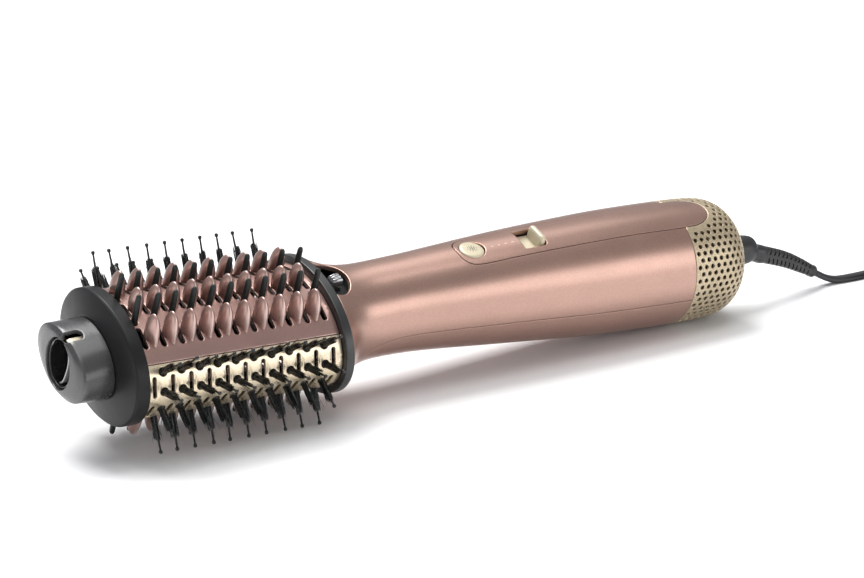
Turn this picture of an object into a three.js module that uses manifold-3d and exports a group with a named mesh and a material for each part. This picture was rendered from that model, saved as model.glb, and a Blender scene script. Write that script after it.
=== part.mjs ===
// Hot air brush: oval vented brush head on a round handle with fan, heater
// and a swivelling mains cord.  Millimetres, +Z up, lying on a table at z = 0.
//
// The brush is drawn in its own straight frame (x along the axis towards the
// handle's rear, z out of the top plate) and then laid down as a nested group.
import * as THREE from 'three';
import { mergeVertices } from 'three/addons/utils/BufferGeometryUtils.js';
import Module from 'manifold-3d';

const wasm = await Module();
wasm.setup();

// ---------------------------------------------------------------- dimensions
const GAP = 0.3;                 // clearance between pieces that touch
const PITCH = 9.0;               // spacing of vents, fins and tufts
const SLOTS = 11, TUFTS = 10;
const BARREL_A = 36.45, BARREL_B = 23.6, PLATE_T = 1.8;   // oval half axes
const HEAD_X0 = -3.6, HEAD_X1 = 94.5;
const SEAM_DEG = 38.1;           // seam between plates and side panels
const FIN_ROWS = [0, 16.65], FIN_HALF = 4.77, FIN_T = 6.0, FIN_TIP = [34.65, 32.0];
const SLOT_W = 2.6;
const BRISTLE_Y = 8.55, BRISTLE_TIP = 37.35, BRISTLE_R = 1.5;
const TUFT_ROWS = [              // hole centre y, z; direction; reach
  { y: 31.10, z: 12.07, deg: 48.6, reach: 16.7 },
  { y: 35.80, z: 4.52, deg: 21.5, reach: 14.8 },
];
const TUFT_HOLE_R = 2.0, TUFT_R = 1.6, PIN_R = 0.5;
const SIDE_SLOT = { z0: 2.07, z1: 10.8, w: 1.9 };
const RING = { a: 39.6, b: 27.3, x0: 94.8, x1: 99.1 };
const KNOB = { a: 22.2, b: 16.0, x0: -12.3, x1: -28.8, wall: 2.0 };
const WALL = 2.2;                // handle wall
const SEAM_X = 297.4;            // joint between shells and rear grille
// handle stations: x, half width, half height, centre height
const HANDLE = [
  [99.4, 38.8, 26.9, 0.0], [103, 33.4, 25.4, 0.3], [108, 28.2, 24.0, 0.7],
  [114, 25.0, 22.9, 1.1], [121, 23.1, 22.3, 1.5], [131, 22.4, 22.3, 2.0],
  [147, 22.8, 22.8, 2.5], [170, 24.3, 24.3, 2.7], [190, 25.8, 25.8, 2.7],
  [211, 27.2, 27.2, 2.6], [239, 28.9, 28.9, 2.1], [268, 30.0, 30.0, 1.8],
  [SEAM_X - GAP / 2, 30.3, 30.3, 1.35],
];
const REAR = [
  [SEAM_X + GAP / 2, 30.3, 1.35], [305, 30.2, 1.3], [312, 30.0, 1.25], [318, 29.7, 1.2], [324, 28.7, 1.2],
  [329, 26.5, 1.2], [333, 22.7, 1.2], [336, 16.6, 1.1], [337.6, 8.0, 1.0],
];
const REAR_LINING = [
  [SEAM_X + GAP / 2, 28.6, 1.35], [312, 28.3, 1.25], [323.6, 27.0, 1.2], [328, 24.8, 1.2], [331.6, 21.0, 1.2],
  [334.4, 15.4, 1.1], [335.9, 8.0, 1.0],
];
const TAIL_Z = 1.0;              // height of the tail axis in the brush frame
const BUTTON = { x: 180.3, r: 6.1, travel: 1.2 };
const WINDOW = { x0: 206.2, x1: 218.8, half: 6.9 };
const SLIDER_TRAVEL = 8.0;
const LATCH = { x0: 103.6, x1: 110.0, half: 4.0, z0: 20.6, z1: 25.2 };
const NOTCH = { half: 13.0, x1: 112.5 };
const MOTOR_Z = 2.6;             // height of the motor axis
// laying the brush down
const ROLL_DEG = 21.17, PITCH_DEG = 2.45;
const SHIFT = [-184.115, 0, 41.984];
// cord: oval twin flex 5.4 x 3.4 mm, 1.8 m long; route, coil and plug on the table
const CORD = { a: 2.7, b: 1.7 };
const RELIEF = [                 // x, z of the centre line, half width, half height
  [168.4, 26.4, 4.4, 4.3], [173.5, 24.85, 4.4, 4.35], [182.5, 22.0, 4.35, 4.3], [193.3, 18.0, 4.2, 4.1],
  [204.1, 12.6, 3.7, 3.5], [212.06, 8.2, 3.2, 2.75],
];
const RUN = [
  [212.06, 0, 8.2], [215.2, -0.1, 6.4], [218.4, -0.3, 4.6], [222.0, -0.7, 3.0], [226.0, -1.3, 2.0],
  [231.0, -2.0, 1.75], [238.0, -2.6, 1.75], [244.0, -2.7, 1.75], [251.4, -2.3, 1.75],
];
const COIL = { x: 280, y: -33, r0: 20.8, r1: 39.2, height: 14.4 };
const TAIL = [[301.0, 3.2, 12.0], [308.0, 3.2, 11.5], [315.0, 3.2, 11.0]];
const PLUG = { x: 315.6, face: 352, tip: 371, y: 3.2, z: 11, half: 10.9, pinY: 9.5, pinR: 2.4 };

// ------------------------------------------------------------------- helpers
const D = Math.PI / 180;

function toSolid(geometry) {
  const g = geometry.clone();
  for (const name of Object.keys(g.attributes)) if (name !== 'position') g.deleteAttribute(name);
  const m = mergeVertices(g, 1e-4);
  const p = m.attributes.position.array, idx = m.index.array, keep = [];
  let volume = 0;
  for (let i = 0; i < idx.length; i += 3) {
    const [a, b, c] = [idx[i], idx[i + 1], idx[i + 2]];
    if (a === b || b === c || a === c) continue;
    keep.push(a, b, c);
    const P = k => [p[3 * k], p[3 * k + 1], p[3 * k + 2]];
    const [A, B, C] = [P(a), P(b), P(c)];
    volume += A[0] * (B[1] * C[2] - B[2] * C[1]) - A[1] * (B[0] * C[2] - B[2] * C[0]) + A[2] * (B[0] * C[1] - B[1] * C[0]);
  }
  if (volume < 0) for (let i = 0; i < keep.length; i += 3) [keep[i + 1], keep[i + 2]] = [keep[i + 2], keep[i + 1]];
  return new wasm.Manifold(new wasm.Mesh({
    numProp: 3, vertProperties: new Float32Array(p), triVerts: new Uint32Array(keep),
  }));
}

function toGeometry(solid) {
  const mesh = solid.getMesh();
  const g = new THREE.BufferGeometry();
  g.setAttribute('position', new THREE.BufferAttribute(new Float32Array(mesh.vertProperties), 3));
  g.setIndex(Array.from(mesh.triVerts));
  g.computeVertexNormals();
  return g;
}

// a solid turned, shifted or mirrored by a three.js matrix
const moved = (solid, ...steps) => toSolid(toGeometry(solid).applyMatrix4(steps.reduce((a, m) => new THREE.Matrix4().multiplyMatrices(m, a), new THREE.Matrix4())));
const shift = (x, y, z) => new THREE.Matrix4().makeTranslation(x, y, z);
const turnX = deg => new THREE.Matrix4().makeRotationX(deg * Math.PI / 180);
const turnZ = deg => new THREE.Matrix4().makeRotationZ(deg * Math.PI / 180);
const MIRROR_Y = new THREE.Matrix4().makeScale(1, -1, 1), MIRROR_Z = new THREE.Matrix4().makeScale(1, 1, -1);

const join = (...s) => s.reduce((a, b) => a.add(b));
const cut = (a, ...s) => s.reduce((x, b) => x.subtract(b), a);

// closed body from oval sections along x: [x, half width, half height, centre z, centre y]
function ovals(stations, seg = 32) {
  const g = new THREE.LatheGeometry(stations.map(s => new THREE.Vector2(Math.max(s[1], 0), s[0])), seg);
  const p = g.attributes.position, n = stations.length;
  for (let i = 0; i <= seg; i++) {
    const t = (i % seg) / seg * 2 * Math.PI, c = Math.cos(t), s = Math.sin(t);
    for (let j = 0; j < n; j++) {
      const [x, a, b = a, cz = 0, cy = 0] = stations[j];
      p.setXYZ(i * n + j, x, cy + a * c, cz + b * s);
    }
  }
  return toSolid(g);
}
const round = (list, z = 0, seg = 24, y = 0) => ovals(list.map(([x, r]) => [x, r, r, z, y]), seg);
// tube: closed ring between outer and inner radii
const tube = (x0, x1, ro, ri, z = 0, seg = 24) => round([[x0, ro], [x1, ro], [x1, ri], [x0, ri], [x0, ro]], z, seg);

function box(x0, x1, y0, y1, z0, z1) {
  const g = new THREE.BoxGeometry(x1 - x0, y1 - y0, z1 - z0);
  g.translate((x0 + x1) / 2, (y0 + y1) / 2, (z0 + z1) / 2);
  return toSolid(g);
}

const shapeOf = pts => new THREE.Shape(pts.map(([a, b]) => new THREE.Vector2(a, b)));
function extrude(pts, depth, basis, origin, steps = 1) {
  const g = new THREE.ExtrudeGeometry(shapeOf(pts), { depth, bevelEnabled: false, steps });
  g.applyMatrix4(basis);
  g.translate(...origin);
  return g;
}
const V = (x, y, z) => new THREE.Vector3(x, y, z);
const BASIS_X = new THREE.Matrix4().makeBasis(V(0, 1, 0), V(0, 0, 1), V(1, 0, 0));   // (y, z) swept along x
const BASIS_Z = new THREE.Matrix4();                                                   // (x, y) swept along z
const BASIS_Y = new THREE.Matrix4().makeBasis(V(1, 0, 0), V(0, 0, 1), V(0, -1, 0));    // (x, z) swept along -y
const sweepX = (pts, x0, x1) => toSolid(extrude(pts, x1 - x0, BASIS_X, [x0, 0, 0]));
const sweepZ = (pts, z0, z1) => toSolid(extrude(pts, z1 - z0, BASIS_Z, [0, 0, z0]));
const sweepY = (pts, y0, y1) => toSolid(extrude(pts, y1 - y0, BASIS_Y, [0, y1, 0]));

// revolved pin along direction (dy, dz) from (x, y, z): list of [distance, radius]
function pin(list, x, y, z, dy, dz, seg = 5) {
  const g = new THREE.LatheGeometry(list.map(([d, r]) => new THREE.Vector2(r, d)), seg);
  const q = new THREE.Quaternion().setFromUnitVectors(V(0, 1, 0), V(0, dy, dz).normalize());
  g.applyQuaternion(q);
  g.translate(x, y, z);
  return toSolid(g);
}

const brush = new THREE.Group();
const group = new THREE.Group();
function add(name, solid, colour, roughness = 0.5, metalness = 0, parent = brush) {
  const mesh = new THREE.Mesh(toGeometry(solid), new THREE.MeshStandardMaterial({ color: colour, roughness, metalness }));
  mesh.name = name;
  parent.add(mesh);
  return mesh;
}
const ROSE = 0xbe9187, GOLD = 0xd7c3a0, BLACK = 0x2c2c2d, CHARCOAL = 0x464647, CREAM = 0xf0ebd7, GREY = 0x8f8f90, STEEL = 0xb8b8ba, BRISTLE = 0x1d2423;

// ---------------------------------------------------------------- brush head
const onBarrel = y => BARREL_B * Math.sqrt(1 - (y / BARREL_A) ** 2);
// band of the barrel wall through the given angles (degrees on the oval); each
// row of vents, fins or tufts sits on a flat strip of its own
function arcBand(angles) {
  const out = [], inn = [];
  for (const deg of angles) {
    const t = deg * D;
    out.push([BARREL_A * Math.cos(t), BARREL_B * Math.sin(t)]);
    inn.push([(BARREL_A - PLATE_T) * Math.cos(t), (BARREL_B - PLATE_T) * Math.sin(t)]);
  }
  return [...out, ...inn.reverse()];
}
const angleAtY = y => Math.acos(y / BARREL_A) / D;
const angleAtZ = z => Math.asin(z / BARREL_B) / D;

// front cap: raised oval band and shallow cone down to the knob
add('front_cap', ovals([
  [HEAD_X0 - GAP, 36.95, 26.65], [-8.6, 37.0, 26.7], [-9.6, 36.0, 25.8],
  [-12.0, 23.2, 17.0], [-12.0, 17.2, 12.6], [-8.2, 34.0, 23.6], [HEAD_X0 - GAP, 34.4, 24.0], [HEAD_X0 - GAP, 36.95, 26.65],
], 28), CHARCOAL, 0.4);

// tip knob: oval shell with an eye-shaped end opening and a keyhole slot on top
const knobShell = ovals([
  [KNOB.x0, KNOB.a, KNOB.b], [-27.0, 22.9, 14.6], [-27.3, 22.6, 14.4], [-28.3, 17.0, 13.3],
  [KNOB.x1, 11.1, 12.0], [-26.9, 11.1, 11.9], [-25.8, 20.7, 12.7],
  [KNOB.x0, KNOB.a - KNOB.wall, KNOB.b - KNOB.wall], [KNOB.x0, KNOB.a, KNOB.b],
], 20);
add('tip_knob', cut(knobShell, box(-29.5, -19.8, -2.2, 2.2, 8, 18)), CHARCOAL, 0.4);
add('tip_sleeve', ovals([
  [-13.2, 19.6, 12.6], [-23.4, 19.6, 12.6], [-23.4, 18.6, 11.6], [-13.2, 18.6, 11.6], [-13.2, 19.6, 12.6],
], 20), CREAM, 0.5);
add('tip_deflector', ovals([
  [-16.2, 0, 0], [-16.2, 17.4, 10.6], [-17.4, 18.2, 11.25], [-24.2, 18.2, 11.25], [-24.2, 17.2, 10.25],
  [-19.6, 13.6, 8.2], [-17.9, 0, 0],
], 20), BLACK, 0.5);

// top and bottom plates: oval sheet with slots, grooves and fins
function finSolid(x, y, zBase, zTip) {
  const T = FIN_T / 2, H = FIN_HALF;
  const pts = [[0, -H], [T, 0], [0, H], [-T, 0]];
  const depth = zTip - zBase;
  const g = extrude(pts, depth, BASIS_Z, [0, 0, 0], 1);
  const p = g.attributes.position;
  for (let i = 0; i < p.count; i++)
    if (p.getZ(i) > depth - 0.01) p.setXYZ(i, p.getX(i) * 0.6, p.getY(i) * 0.5, depth);
  g.translate(x, y, zBase);
  return toSolid(g);
}
function plate() {
  let s = sweepX(arcBand([SEAM_DEG + 0.35, angleAtY(22.2), angleAtY(11.2), angleAtY(6), angleAtY(-6), angleAtY(-11.2), angleAtY(-22.2), 180 - SEAM_DEG - 0.35]), HEAD_X0, HEAD_X1);
  for (const y of [-FIN_ROWS[1], 0, FIN_ROWS[1]]) {
    const z = onBarrel(Math.abs(y));
    for (let i = 0; i < TUFTS; i++) s = s.add(finSolid((i + 0.5) * PITCH, y, z - 1.6 - (y ? 1.6 : 0), FIN_TIP[y ? 1 : 0]));
    for (let i = 0; i < SLOTS; i++) s = s.subtract(box(i * PITCH - SLOT_W / 2, i * PITCH + SLOT_W / 2, y - FIN_HALF, y + FIN_HALF, 10, 30));
  }
  for (const y of [-BRISTLE_Y, BRISTLE_Y]) s = s.subtract(box(-2.2, 92.2, y - 1.75, y + 1.75, 10, 30));
  return s;
}
const topPlate = plate();
add('top_plate', topPlate, ROSE, 0.3, 0.75);
add('bottom_plate', moved(topPlate, MIRROR_Z), ROSE, 0.3, 0.75);

// side panels with tuft holes and vent slots
function panel() {
  let s = sweepX(arcBand([-SEAM_DEG + 0.35, -angleAtZ(9), -angleAtZ(1.4), angleAtZ(1.4), angleAtZ(9), SEAM_DEG - 0.35]), HEAD_X0, HEAD_X1);
  for (const sign of [1, -1]) {
    for (const r of TUFT_ROWS) {
      const dy = Math.cos(r.deg * D), dz = sign * Math.sin(r.deg * D);
      for (let i = 0; i < TUFTS; i++)
        s = s.subtract(pin([[-5, 0], [-5, TUFT_HOLE_R + 0.6], [4, TUFT_HOLE_R + 0.6], [4, 0]], (i + 0.5) * PITCH, r.y, sign * r.z, dy, dz, 4));
    }
    const [a, b] = sign > 0 ? [SIDE_SLOT.z0, SIDE_SLOT.z1] : [-SIDE_SLOT.z1, -SIDE_SLOT.z0];
    for (let i = 0; i < SLOTS; i++)
      s = s.subtract(box(i * PITCH - SIDE_SLOT.w / 2, i * PITCH + SIDE_SLOT.w / 2, 26, 40, a, b));
  }
  return s;
}
const farPanel = panel();
add('far_side_panel', farPanel, GOLD, 0.35, 0.7);
add('near_side_panel', moved(farPanel, MIRROR_Y), GOLD, 0.35, 0.7);

// bristle strips: a bar in each groove with a row of tapered bristles
for (const [side, sz] of [['top', 1], ['bottom', -1]]) {
  for (const [where, sy] of [['near', -1], ['far', 1]]) {
    const zt = onBarrel(BRISTLE_Y) - 0.5;
    let s = box(-1.9, 91.9, sy * BRISTLE_Y - 1.2, sy * BRISTLE_Y + 1.2, zt - 3.4, zt);
    for (let i = 0; i < SLOTS; i++)
      s = s.add(pin([[-0.5, 0], [-0.5, BRISTLE_R - 0.1], [BRISTLE_TIP - zt, 0.7], [BRISTLE_TIP - zt, 0]], i * PITCH, sy * BRISTLE_Y, zt, 0, 1, 4));
    add(`bristle_strip_${side}_${where}`, sz > 0 ? s : moved(s, MIRROR_Z), BRISTLE, 0.55);
  }
}

// tuft strips: a bar behind the panel with a row of tufts around ball pins
TUFT_ROWS.forEach((r, k) => {
  for (const [where, sy] of [['near', -1], ['far', 1]]) {
    for (const [level, sz] of [['upper', 1], ['lower', -1]]) {
      const dy = sy * Math.cos(r.deg * D), dz = sz * Math.sin(r.deg * D);
      const y = sy * r.y, z = sz * r.z, L = r.reach;
      const back = 3.75, ny = -dz, nz = dy, hw = 1.25;
      const c = d => [y + dy * d, z + dz * d];
      const [b0, b1] = [c(-back - 0.9), c(-back + 0.7)];
      const bar = [[b0[0] - ny * hw, b0[1] - nz * hw], [b1[0] - ny * hw, b1[1] - nz * hw], [b1[0] + ny * hw, b1[1] + nz * hw], [b0[0] + ny * hw, b0[1] + nz * hw]];
      let s = sweepX(bar, 2.2, 87.8);
      for (let i = 0; i < TUFTS; i++)
        s = s.add(pin([[-back, 0], [-back, TUFT_R - 0.1], [L * 0.62, TUFT_R + 0.2], [L, PIN_R + 0.1], [L, 0]], (i + 0.5) * PITCH, y, z, dy, dz, 3));
      add(`tuft_strip_${where}_${k ? 'inner' : 'outer'}_${level}`, s, BRISTLE, 0.6);
    }
  }
});

// frame inside the head, air core, ring behind the panels, coupler tube
const rail = (sy, sz) => box(-2.9, 93.9, sy * 25.1 - 1.1, sy * 25.1 + 1.1, sz * 12.4 - 1.1, sz * 12.4 + 1.1);
const endRing = (x0, x1) => ovals([[x0, 33.8, 20.6], [x1, 33.8, 20.6], [x1, 24, 11], [x0, 24, 11], [x0, 33.8, 20.6]], 14);
add('barrel_frame', join(endRing(-3.4, -2.3), endRing(92.9, 94.2), rail(1, 1), rail(1, -1), rail(-1, 1), rail(-1, -1)), BLACK, 0.6);
let core = ovals([[-2, 17, 9.6], [94.5, 17, 9.6], [94.5, 15.5, 8.1], [-2, 15.5, 8.1], [-2, 17, 9.6]], 14);
for (const x of [6, 36, 66]) core = core.subtract(box(x, x + 20, -9, 9, -14, 14));
add('air_core', core, GREY, 0.6);
add('back_ring', ovals([
  [RING.x0, RING.a, RING.b], [RING.x1 - 0.6, RING.a, RING.b], [RING.x1, RING.a - 0.6, RING.b - 0.6],
  [RING.x1, 16.8, 16.8], [RING.x0, 16.8, 16.8], [RING.x0, RING.a, RING.b],
], 28), CHARCOAL, 0.45);
add('coupler', tube(95.2, 117, 16.4, 14.8, 0, 20), BLACK, 0.5);

// -------------------------------------------------------------------- handle
const inner = ([x, a, b, z]) => [x, a - WALL, b - WALL, z];
const lining = HANDLE.filter((s, i) => i % 2 === 0);        // inner wall, half as many stations
const shellStations = [...HANDLE, ...lining.reverse().map(inner), HANDLE[0]];
let shell = ovals(shellStations, 24);
// notch in the mouth of the handle over the latch
const notch = [[95, -NOTCH.half - 2], [101, -NOTCH.half], [107, -NOTCH.half + 1.5], [111, -8], [NOTCH.x1, -3], [NOTCH.x1, 3], [111, 8], [107, NOTCH.half - 1.5], [101, NOTCH.half], [95, NOTCH.half + 2]];
shell = shell.subtract(sweepZ(notch, 10, 40));
// lower shell: below the side seam, with a rounded front end
const g2 = GAP / 2;
const lowLine = o => [[108 + o, -60], [109 + o, -20 - o], [111.5 + o, -13 - o], [116 + o, -6 - o], [123 + o, -2 - o], [133, 0.9 - o], [160, 1.2 - o], [400, 0 - o], [400, -60]];
const lowerRegion = o => sweepY(lowLine(o), -60, 60);
let lower = shell.intersect(lowerRegion(g2));
let upper = shell.subtract(lowerRegion(-g2));
// control panel: an insert let into the upper shell
const plan = o => [[172.4 - o, -4], [172.4 - o, 4], [175 - o * 0.6, 8 + o * 0.6], [179, 9.5 + o], [230, 10.1 + o], [300, 10.6 + o], [309, 9.4 + o], [314.5 + o, 6], [315.8 + o, 0], [314.5 + o, -6], [309, -9.4 - o], [300, -10.6 - o], [230, -10.1 - o], [179, -9.5 - o], [175 - o * 0.6, -8 - o * 0.6]]
  .map(([x, y]) => [Math.min(x, SEAM_X + 30), y]);
const panelStations = [...HANDLE.slice(6, 12), [SEAM_X, 30.3, 30.3, 1.35], [308, 30.1, 30.1, 1.3], [318, 29.7, 29.7, 1.2]];
const skin = ovals([...panelStations, ...panelStations.slice().reverse().map(inner), panelStations[0]], 24);
upper = upper.subtract(sweepZ(plan(GAP + 0.1), 10, 45));
let panelSolid = skin.intersect(sweepZ(plan(0), 10, 45));
const disc = (x, y, r, z0, z1, seg = 20) => {
  const pts = [];
  for (let i = 0; i < seg; i++) pts.push([x + r * Math.cos(i / seg * 2 * Math.PI), y + r * Math.sin(i / seg * 2 * Math.PI)]);
  return sweepZ(pts, z0, z1);
};
panelSolid = cut(panelSolid, disc(BUTTON.x, 0, BUTTON.r + 0.42, 10, 45), box(WINDOW.x0, WINDOW.x1, -WINDOW.half, WINDOW.half, 10, 45));
// two countersunk screws hold the lower shell
for (const x of [182, 270]) lower = lower.subtract(disc(x, 0, 3.3, -45, -10, 10));
add('handle_upper_shell', upper, ROSE, 0.3, 0.75);
add('handle_lower_shell', lower, ROSE, 0.3, 0.75);
add('control_panel', panelSolid, ROSE, 0.3, 0.75);
const zAt = x => { for (let i = 1; i < HANDLE.length; i++) if (x <= HANDLE[i][0]) { const [a, b] = [HANDLE[i - 1], HANDLE[i]], t = (x - a[0]) / (b[0] - a[0]); return [a[2] + t * (b[2] - a[2]), a[3] + t * (b[3] - a[3])]; } };
for (const [name, x] of [['case_screw_front', 182], ['case_screw_rear', 270]]) {
  const [r, c] = zAt(x), z = c - r + 0.9;
  add(name, join(disc(x, 0, 3.0, z, z + 1.7, 10), disc(x, 0, 1.4, z + 1.5, z + 7, 6)), STEEL, 0.3, 0.9);
}

// socket that takes the coupler, plate behind the mouth, latch and its leaf spring
add('socket', round([[102.5, 17.9], [122, 17.9], [122, 15], [118.4, 15], [118.4, 16.8], [102.5, 16.8], [102.5, 17.9]], 0, 20), BLACK, 0.5);
add('mouth_plate', ovals([[113, 22.2, 20.0, 1.1], [114.2, 22.0, 19.9, 1.1], [114.2, 18.3, 18.3, 0], [113, 18.3, 18.3, 0], [113, 22.2, 20.0, 1.1]], 20), BLACK, 0.6);
const latchLine = [[LATCH.x0, LATCH.z0], [LATCH.x1, LATCH.z0], [LATCH.x1, LATCH.z1 - 0.9], [LATCH.x1 - 1.4, LATCH.z1], [LATCH.x0 + 2.2, LATCH.z1 - 0.4], [LATCH.x0, LATCH.z1 - 2.2]];
add('release_latch', sweepY(latchLine, -LATCH.half, LATCH.half), GREY, 0.25, 0.3);
add('latch_spring', sweepY([[104.5, 18.2], [109.8, 18.2], [109.8, 18.45], [107.1, 19.1], [104.5, 18.45]], -2.5, 2.5), STEEL, 0.3, 0.9);

// heater
add('mica_tube', tube(126, 167, 18.8, 18.2, 2.0, 24), 0xcfc6a8, 0.6);
add('heater_frame', join(box(128, 165, -0.4, 0.4, -11.5, 15.5), box(128, 165, -13.5, 13.5, 1.6, 2.4)), 0xd8cfae, 0.7);
{
  const pts = [];
  for (let i = 0; i <= 40; i++) { const t = i / 40, a = t * 4 * 2 * Math.PI; pts.push(V(131 + 31 * t, 16 * Math.cos(a), 2 + 16 * Math.sin(a))); }
  const curve = new THREE.CatmullRomCurve3(pts);
  const sec = []; for (let i = 0; i < 4; i++) sec.push(new THREE.Vector2(0.7 * Math.cos(i / 4 * 2 * Math.PI), 0.7 * Math.sin(i / 4 * 2 * Math.PI)));
  add('heater_coil', toSolid(new THREE.ExtrudeGeometry(new THREE.Shape(sec), { steps: 40, extrudePath: curve, bevelEnabled: false })), STEEL, 0.4, 0.8);
}
add('thermal_cutout', box(168, 174, -4, 4, 5, 8), STEEL, 0.4, 0.6);

// fan, motor and mount
let fan = round([[198, 0], [198, 4.5], [208, 5.2], [208, 1.6], [200, 1.6], [200, 0]], MOTOR_Z, 14);
for (let i = 0; i < 7; i++) {
  const blade = moved(box(-4, 4, -0.5, 0.5, 4.2, 14.6), turnZ(38), turnX(i * 360 / 7), shift(203, 0, MOTOR_Z));
  fan = fan.add(blade);
}
add('fan_wheel', fan, BLACK, 0.5);
add('motor_shaft', round([[201, 0], [201, 1.2], [211.4, 1.2], [211.4, 0]], MOTOR_Z, 10), STEEL, 0.3, 0.9);
add('motor_body', round([[212, 0], [212, 11], [214, 13.4], [242, 13.4], [244, 11], [244, 5], [248, 5], [248, 0]], MOTOR_Z, 20), STEEL, 0.35, 0.8);
add('motor_mount', join(tube(218, 232, 15.4, 13.8, MOTOR_Z, 20), box(222, 228, 15, 24.2, 1.4, 3.8), box(222, 228, -24.2, -15, 1.4, 3.8), box(222, 228, -2, 2, -21.2, -12.4)), BLACK, 0.6);

// controls
add('circuit_board', box(171, 240, -8, 8, 18.4, 19.6), 0x2f5a3a, 0.6);
add('button_switch', box(BUTTON.x - 3, BUTTON.x + 3, -3, 3, 19.9, 20.9), BLACK, 0.5);
add('switch_body', box(203, 226, -6.5, 6.5, 19.9, 23.6), BLACK, 0.5);
add('slide_switch', sweepY([[197.2, 24.1], [218.4, 24.1], [218.4, 28.6], [217.8, 31.4], [216.8, 32.3], [215.6, 31.4], [214.8, 26.8], [213.8, 26.0], [207.2, 25.75], [197.2, 24.95]], -6.2, 6.2), CREAM, 0.35);
{
  const g = new THREE.LatheGeometry([[0, 22.2], [8, 22.2], [8, 23.1], [BUTTON.r, 23.1], [BUTTON.r, 27.0], [BUTTON.r - 1, 27.7], [0, 28.1]].map(([r, z]) => new THREE.Vector2(r, z)), 24);
  g.rotateX(Math.PI / 2);
  g.translate(BUTTON.x, 0, 0);
  add('push_button', toSolid(g), CREAM, 0.35);
}

// rear grille, filter, cord clamp
const rearRings = list => list.map(([x, r, z]) => [x, r, r, z]);
let grille = ovals([...rearRings(REAR), ...rearRings(REAR_LINING).reverse(), rearRings(REAR)[0]], 24);
grille = grille.subtract(sweepZ(plan(GAP + 0.2), 10, 45));
for (let i = 0; i < 12; i++) for (const x of [325]) {
  const a = (i + 0.5) * 30;
  grille = grille.subtract(moved(disc(x, 0, 1.9, 18, 40, 4), turnX(a), shift(0, 0, 1.2)));
}
add('rear_grille', grille, GOLD, 0.4, 0.7);
add('dust_filter', round([[310, 27.3], [320, 26.4], [325.5, 24.3], [325.5, 23.7], [320, 25.8], [310, 26.7], [310, 27.3]], 1.2, 18), BLACK, 0.8);
add('cord_clamp', join(box(318, 328, -7, 7, -6, -3), box(318, 328, -7, -4.6, -4, 5), box(318, 328, 4.6, 7, -4, 5)), BLACK, 0.6);

// swivel at the tail
const laid = new THREE.Matrix4().compose(new THREE.Vector3(...SHIFT),
  new THREE.Quaternion().setFromEuler(new THREE.Euler(ROLL_DEG * D, PITCH_DEG * D, 0, 'YXZ')), V(1, 1, 1));
// bent body of oval rings in the plane y = 0: [x, z, half width, half height]
function bent(list, seg = 12) {
  const n = list.length, rings = [[0, 0], ...list.map((s, i) => [1, i]), [0, n - 1]];
  const g = new THREE.LatheGeometry(rings.map(([k], j) => new THREE.Vector2(k, j)), seg);
  const p = g.attributes.position, m = rings.length;
  for (let i = 0; i <= seg; i++) {
    const t = (i % seg) / seg * 2 * Math.PI;
    for (let j = 0; j < m; j++) {
      const [k, q] = rings[j], [x, z, a, b] = list[q];
      const before = list[Math.max(q - 1, 0)], after = list[Math.min(q + 1, n - 1)];
      const dx = after[0] - before[0], dz = after[1] - before[1], l = Math.hypot(dx, dz);
      p.setXYZ(i * m + j, x - k * b * Math.sin(t) * dz / l, k * a * Math.cos(t), z + k * b * Math.sin(t) * dx / l);
    }
  }
  return toSolid(g);
}
const dome = round([[330.5, 0], [330.5, 10.2], [333, 10.2], [334.2, 7.3], [351.2, 7.3], [354.4, 6.3], [356.4, 4.6], [357.2, 3.2], [357.2, 0]], TAIL_Z, 20);
// the relief's root sits in a slanted hole in the dome
const reliefHole = bent([[168.0, 26.5, 4.75, 4.7], [174.6, 24.5, 4.75, 4.7], [190, 19.85, 4.75, 4.7]], 12);
add('swivel_dome', cut(moved(dome, laid), reliefHole), BLACK, 0.45, 0, group);
add('strain_relief', bent(RELIEF, 12), BLACK, 0.55, 0, group);

// ---------------------------------------------------------------------- cord
function flex(points, steps) {
  const curve = new THREE.CatmullRomCurve3(points.map(q => V(...q)), false, 'centripetal');
  const oval = [];
  for (let i = 0; i < 8; i++) oval.push(new THREE.Vector2(CORD.b * Math.sin((i + 0.5) / 8 * 2 * Math.PI), CORD.a * Math.cos((i + 0.5) / 8 * 2 * Math.PI)));
  return toSolid(new THREE.ExtrudeGeometry(new THREE.Shape(oval), { steps, extrudePath: curve, bevelEnabled: false }));
}
const runStart = [RUN[0][0] + 0.35, 0, RUN[0][2] - 0.2];
add('cord_run', flex([runStart, ...RUN.slice(1)], 10), BLACK, 0.55, 0, group);
{
  const g = new THREE.LatheGeometry([[COIL.r0, 0], [COIL.r1, 0], [COIL.r1, COIL.height], [COIL.r0, COIL.height], [COIL.r0, 0]].map(([r, z]) => new THREE.Vector2(r, z)), 24);
  g.rotateX(Math.PI / 2);
  g.translate(COIL.x, COIL.y, 0);
  add('cord_coil', toSolid(g), BLACK, 0.55, 0, group);
}
{
  const a = COIL.r0 - 1.4, b = COIL.r1 + 0.9, h = COIL.height, y = COIL.y;
  add('cord_tie', sweepX([[y - b, 0.1], [y - b + 0.6, 0.1], [y - b + 0.6, h + 0.3], [y - a - 0.6, h + 0.3], [y - a - 0.6, 0.1], [y - a, 0.1], [y - a, h + 0.9], [y - b, h + 0.9]], COIL.x - 2.5, COIL.x + 2.5), BLACK, 0.6, 0, group);
}
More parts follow.
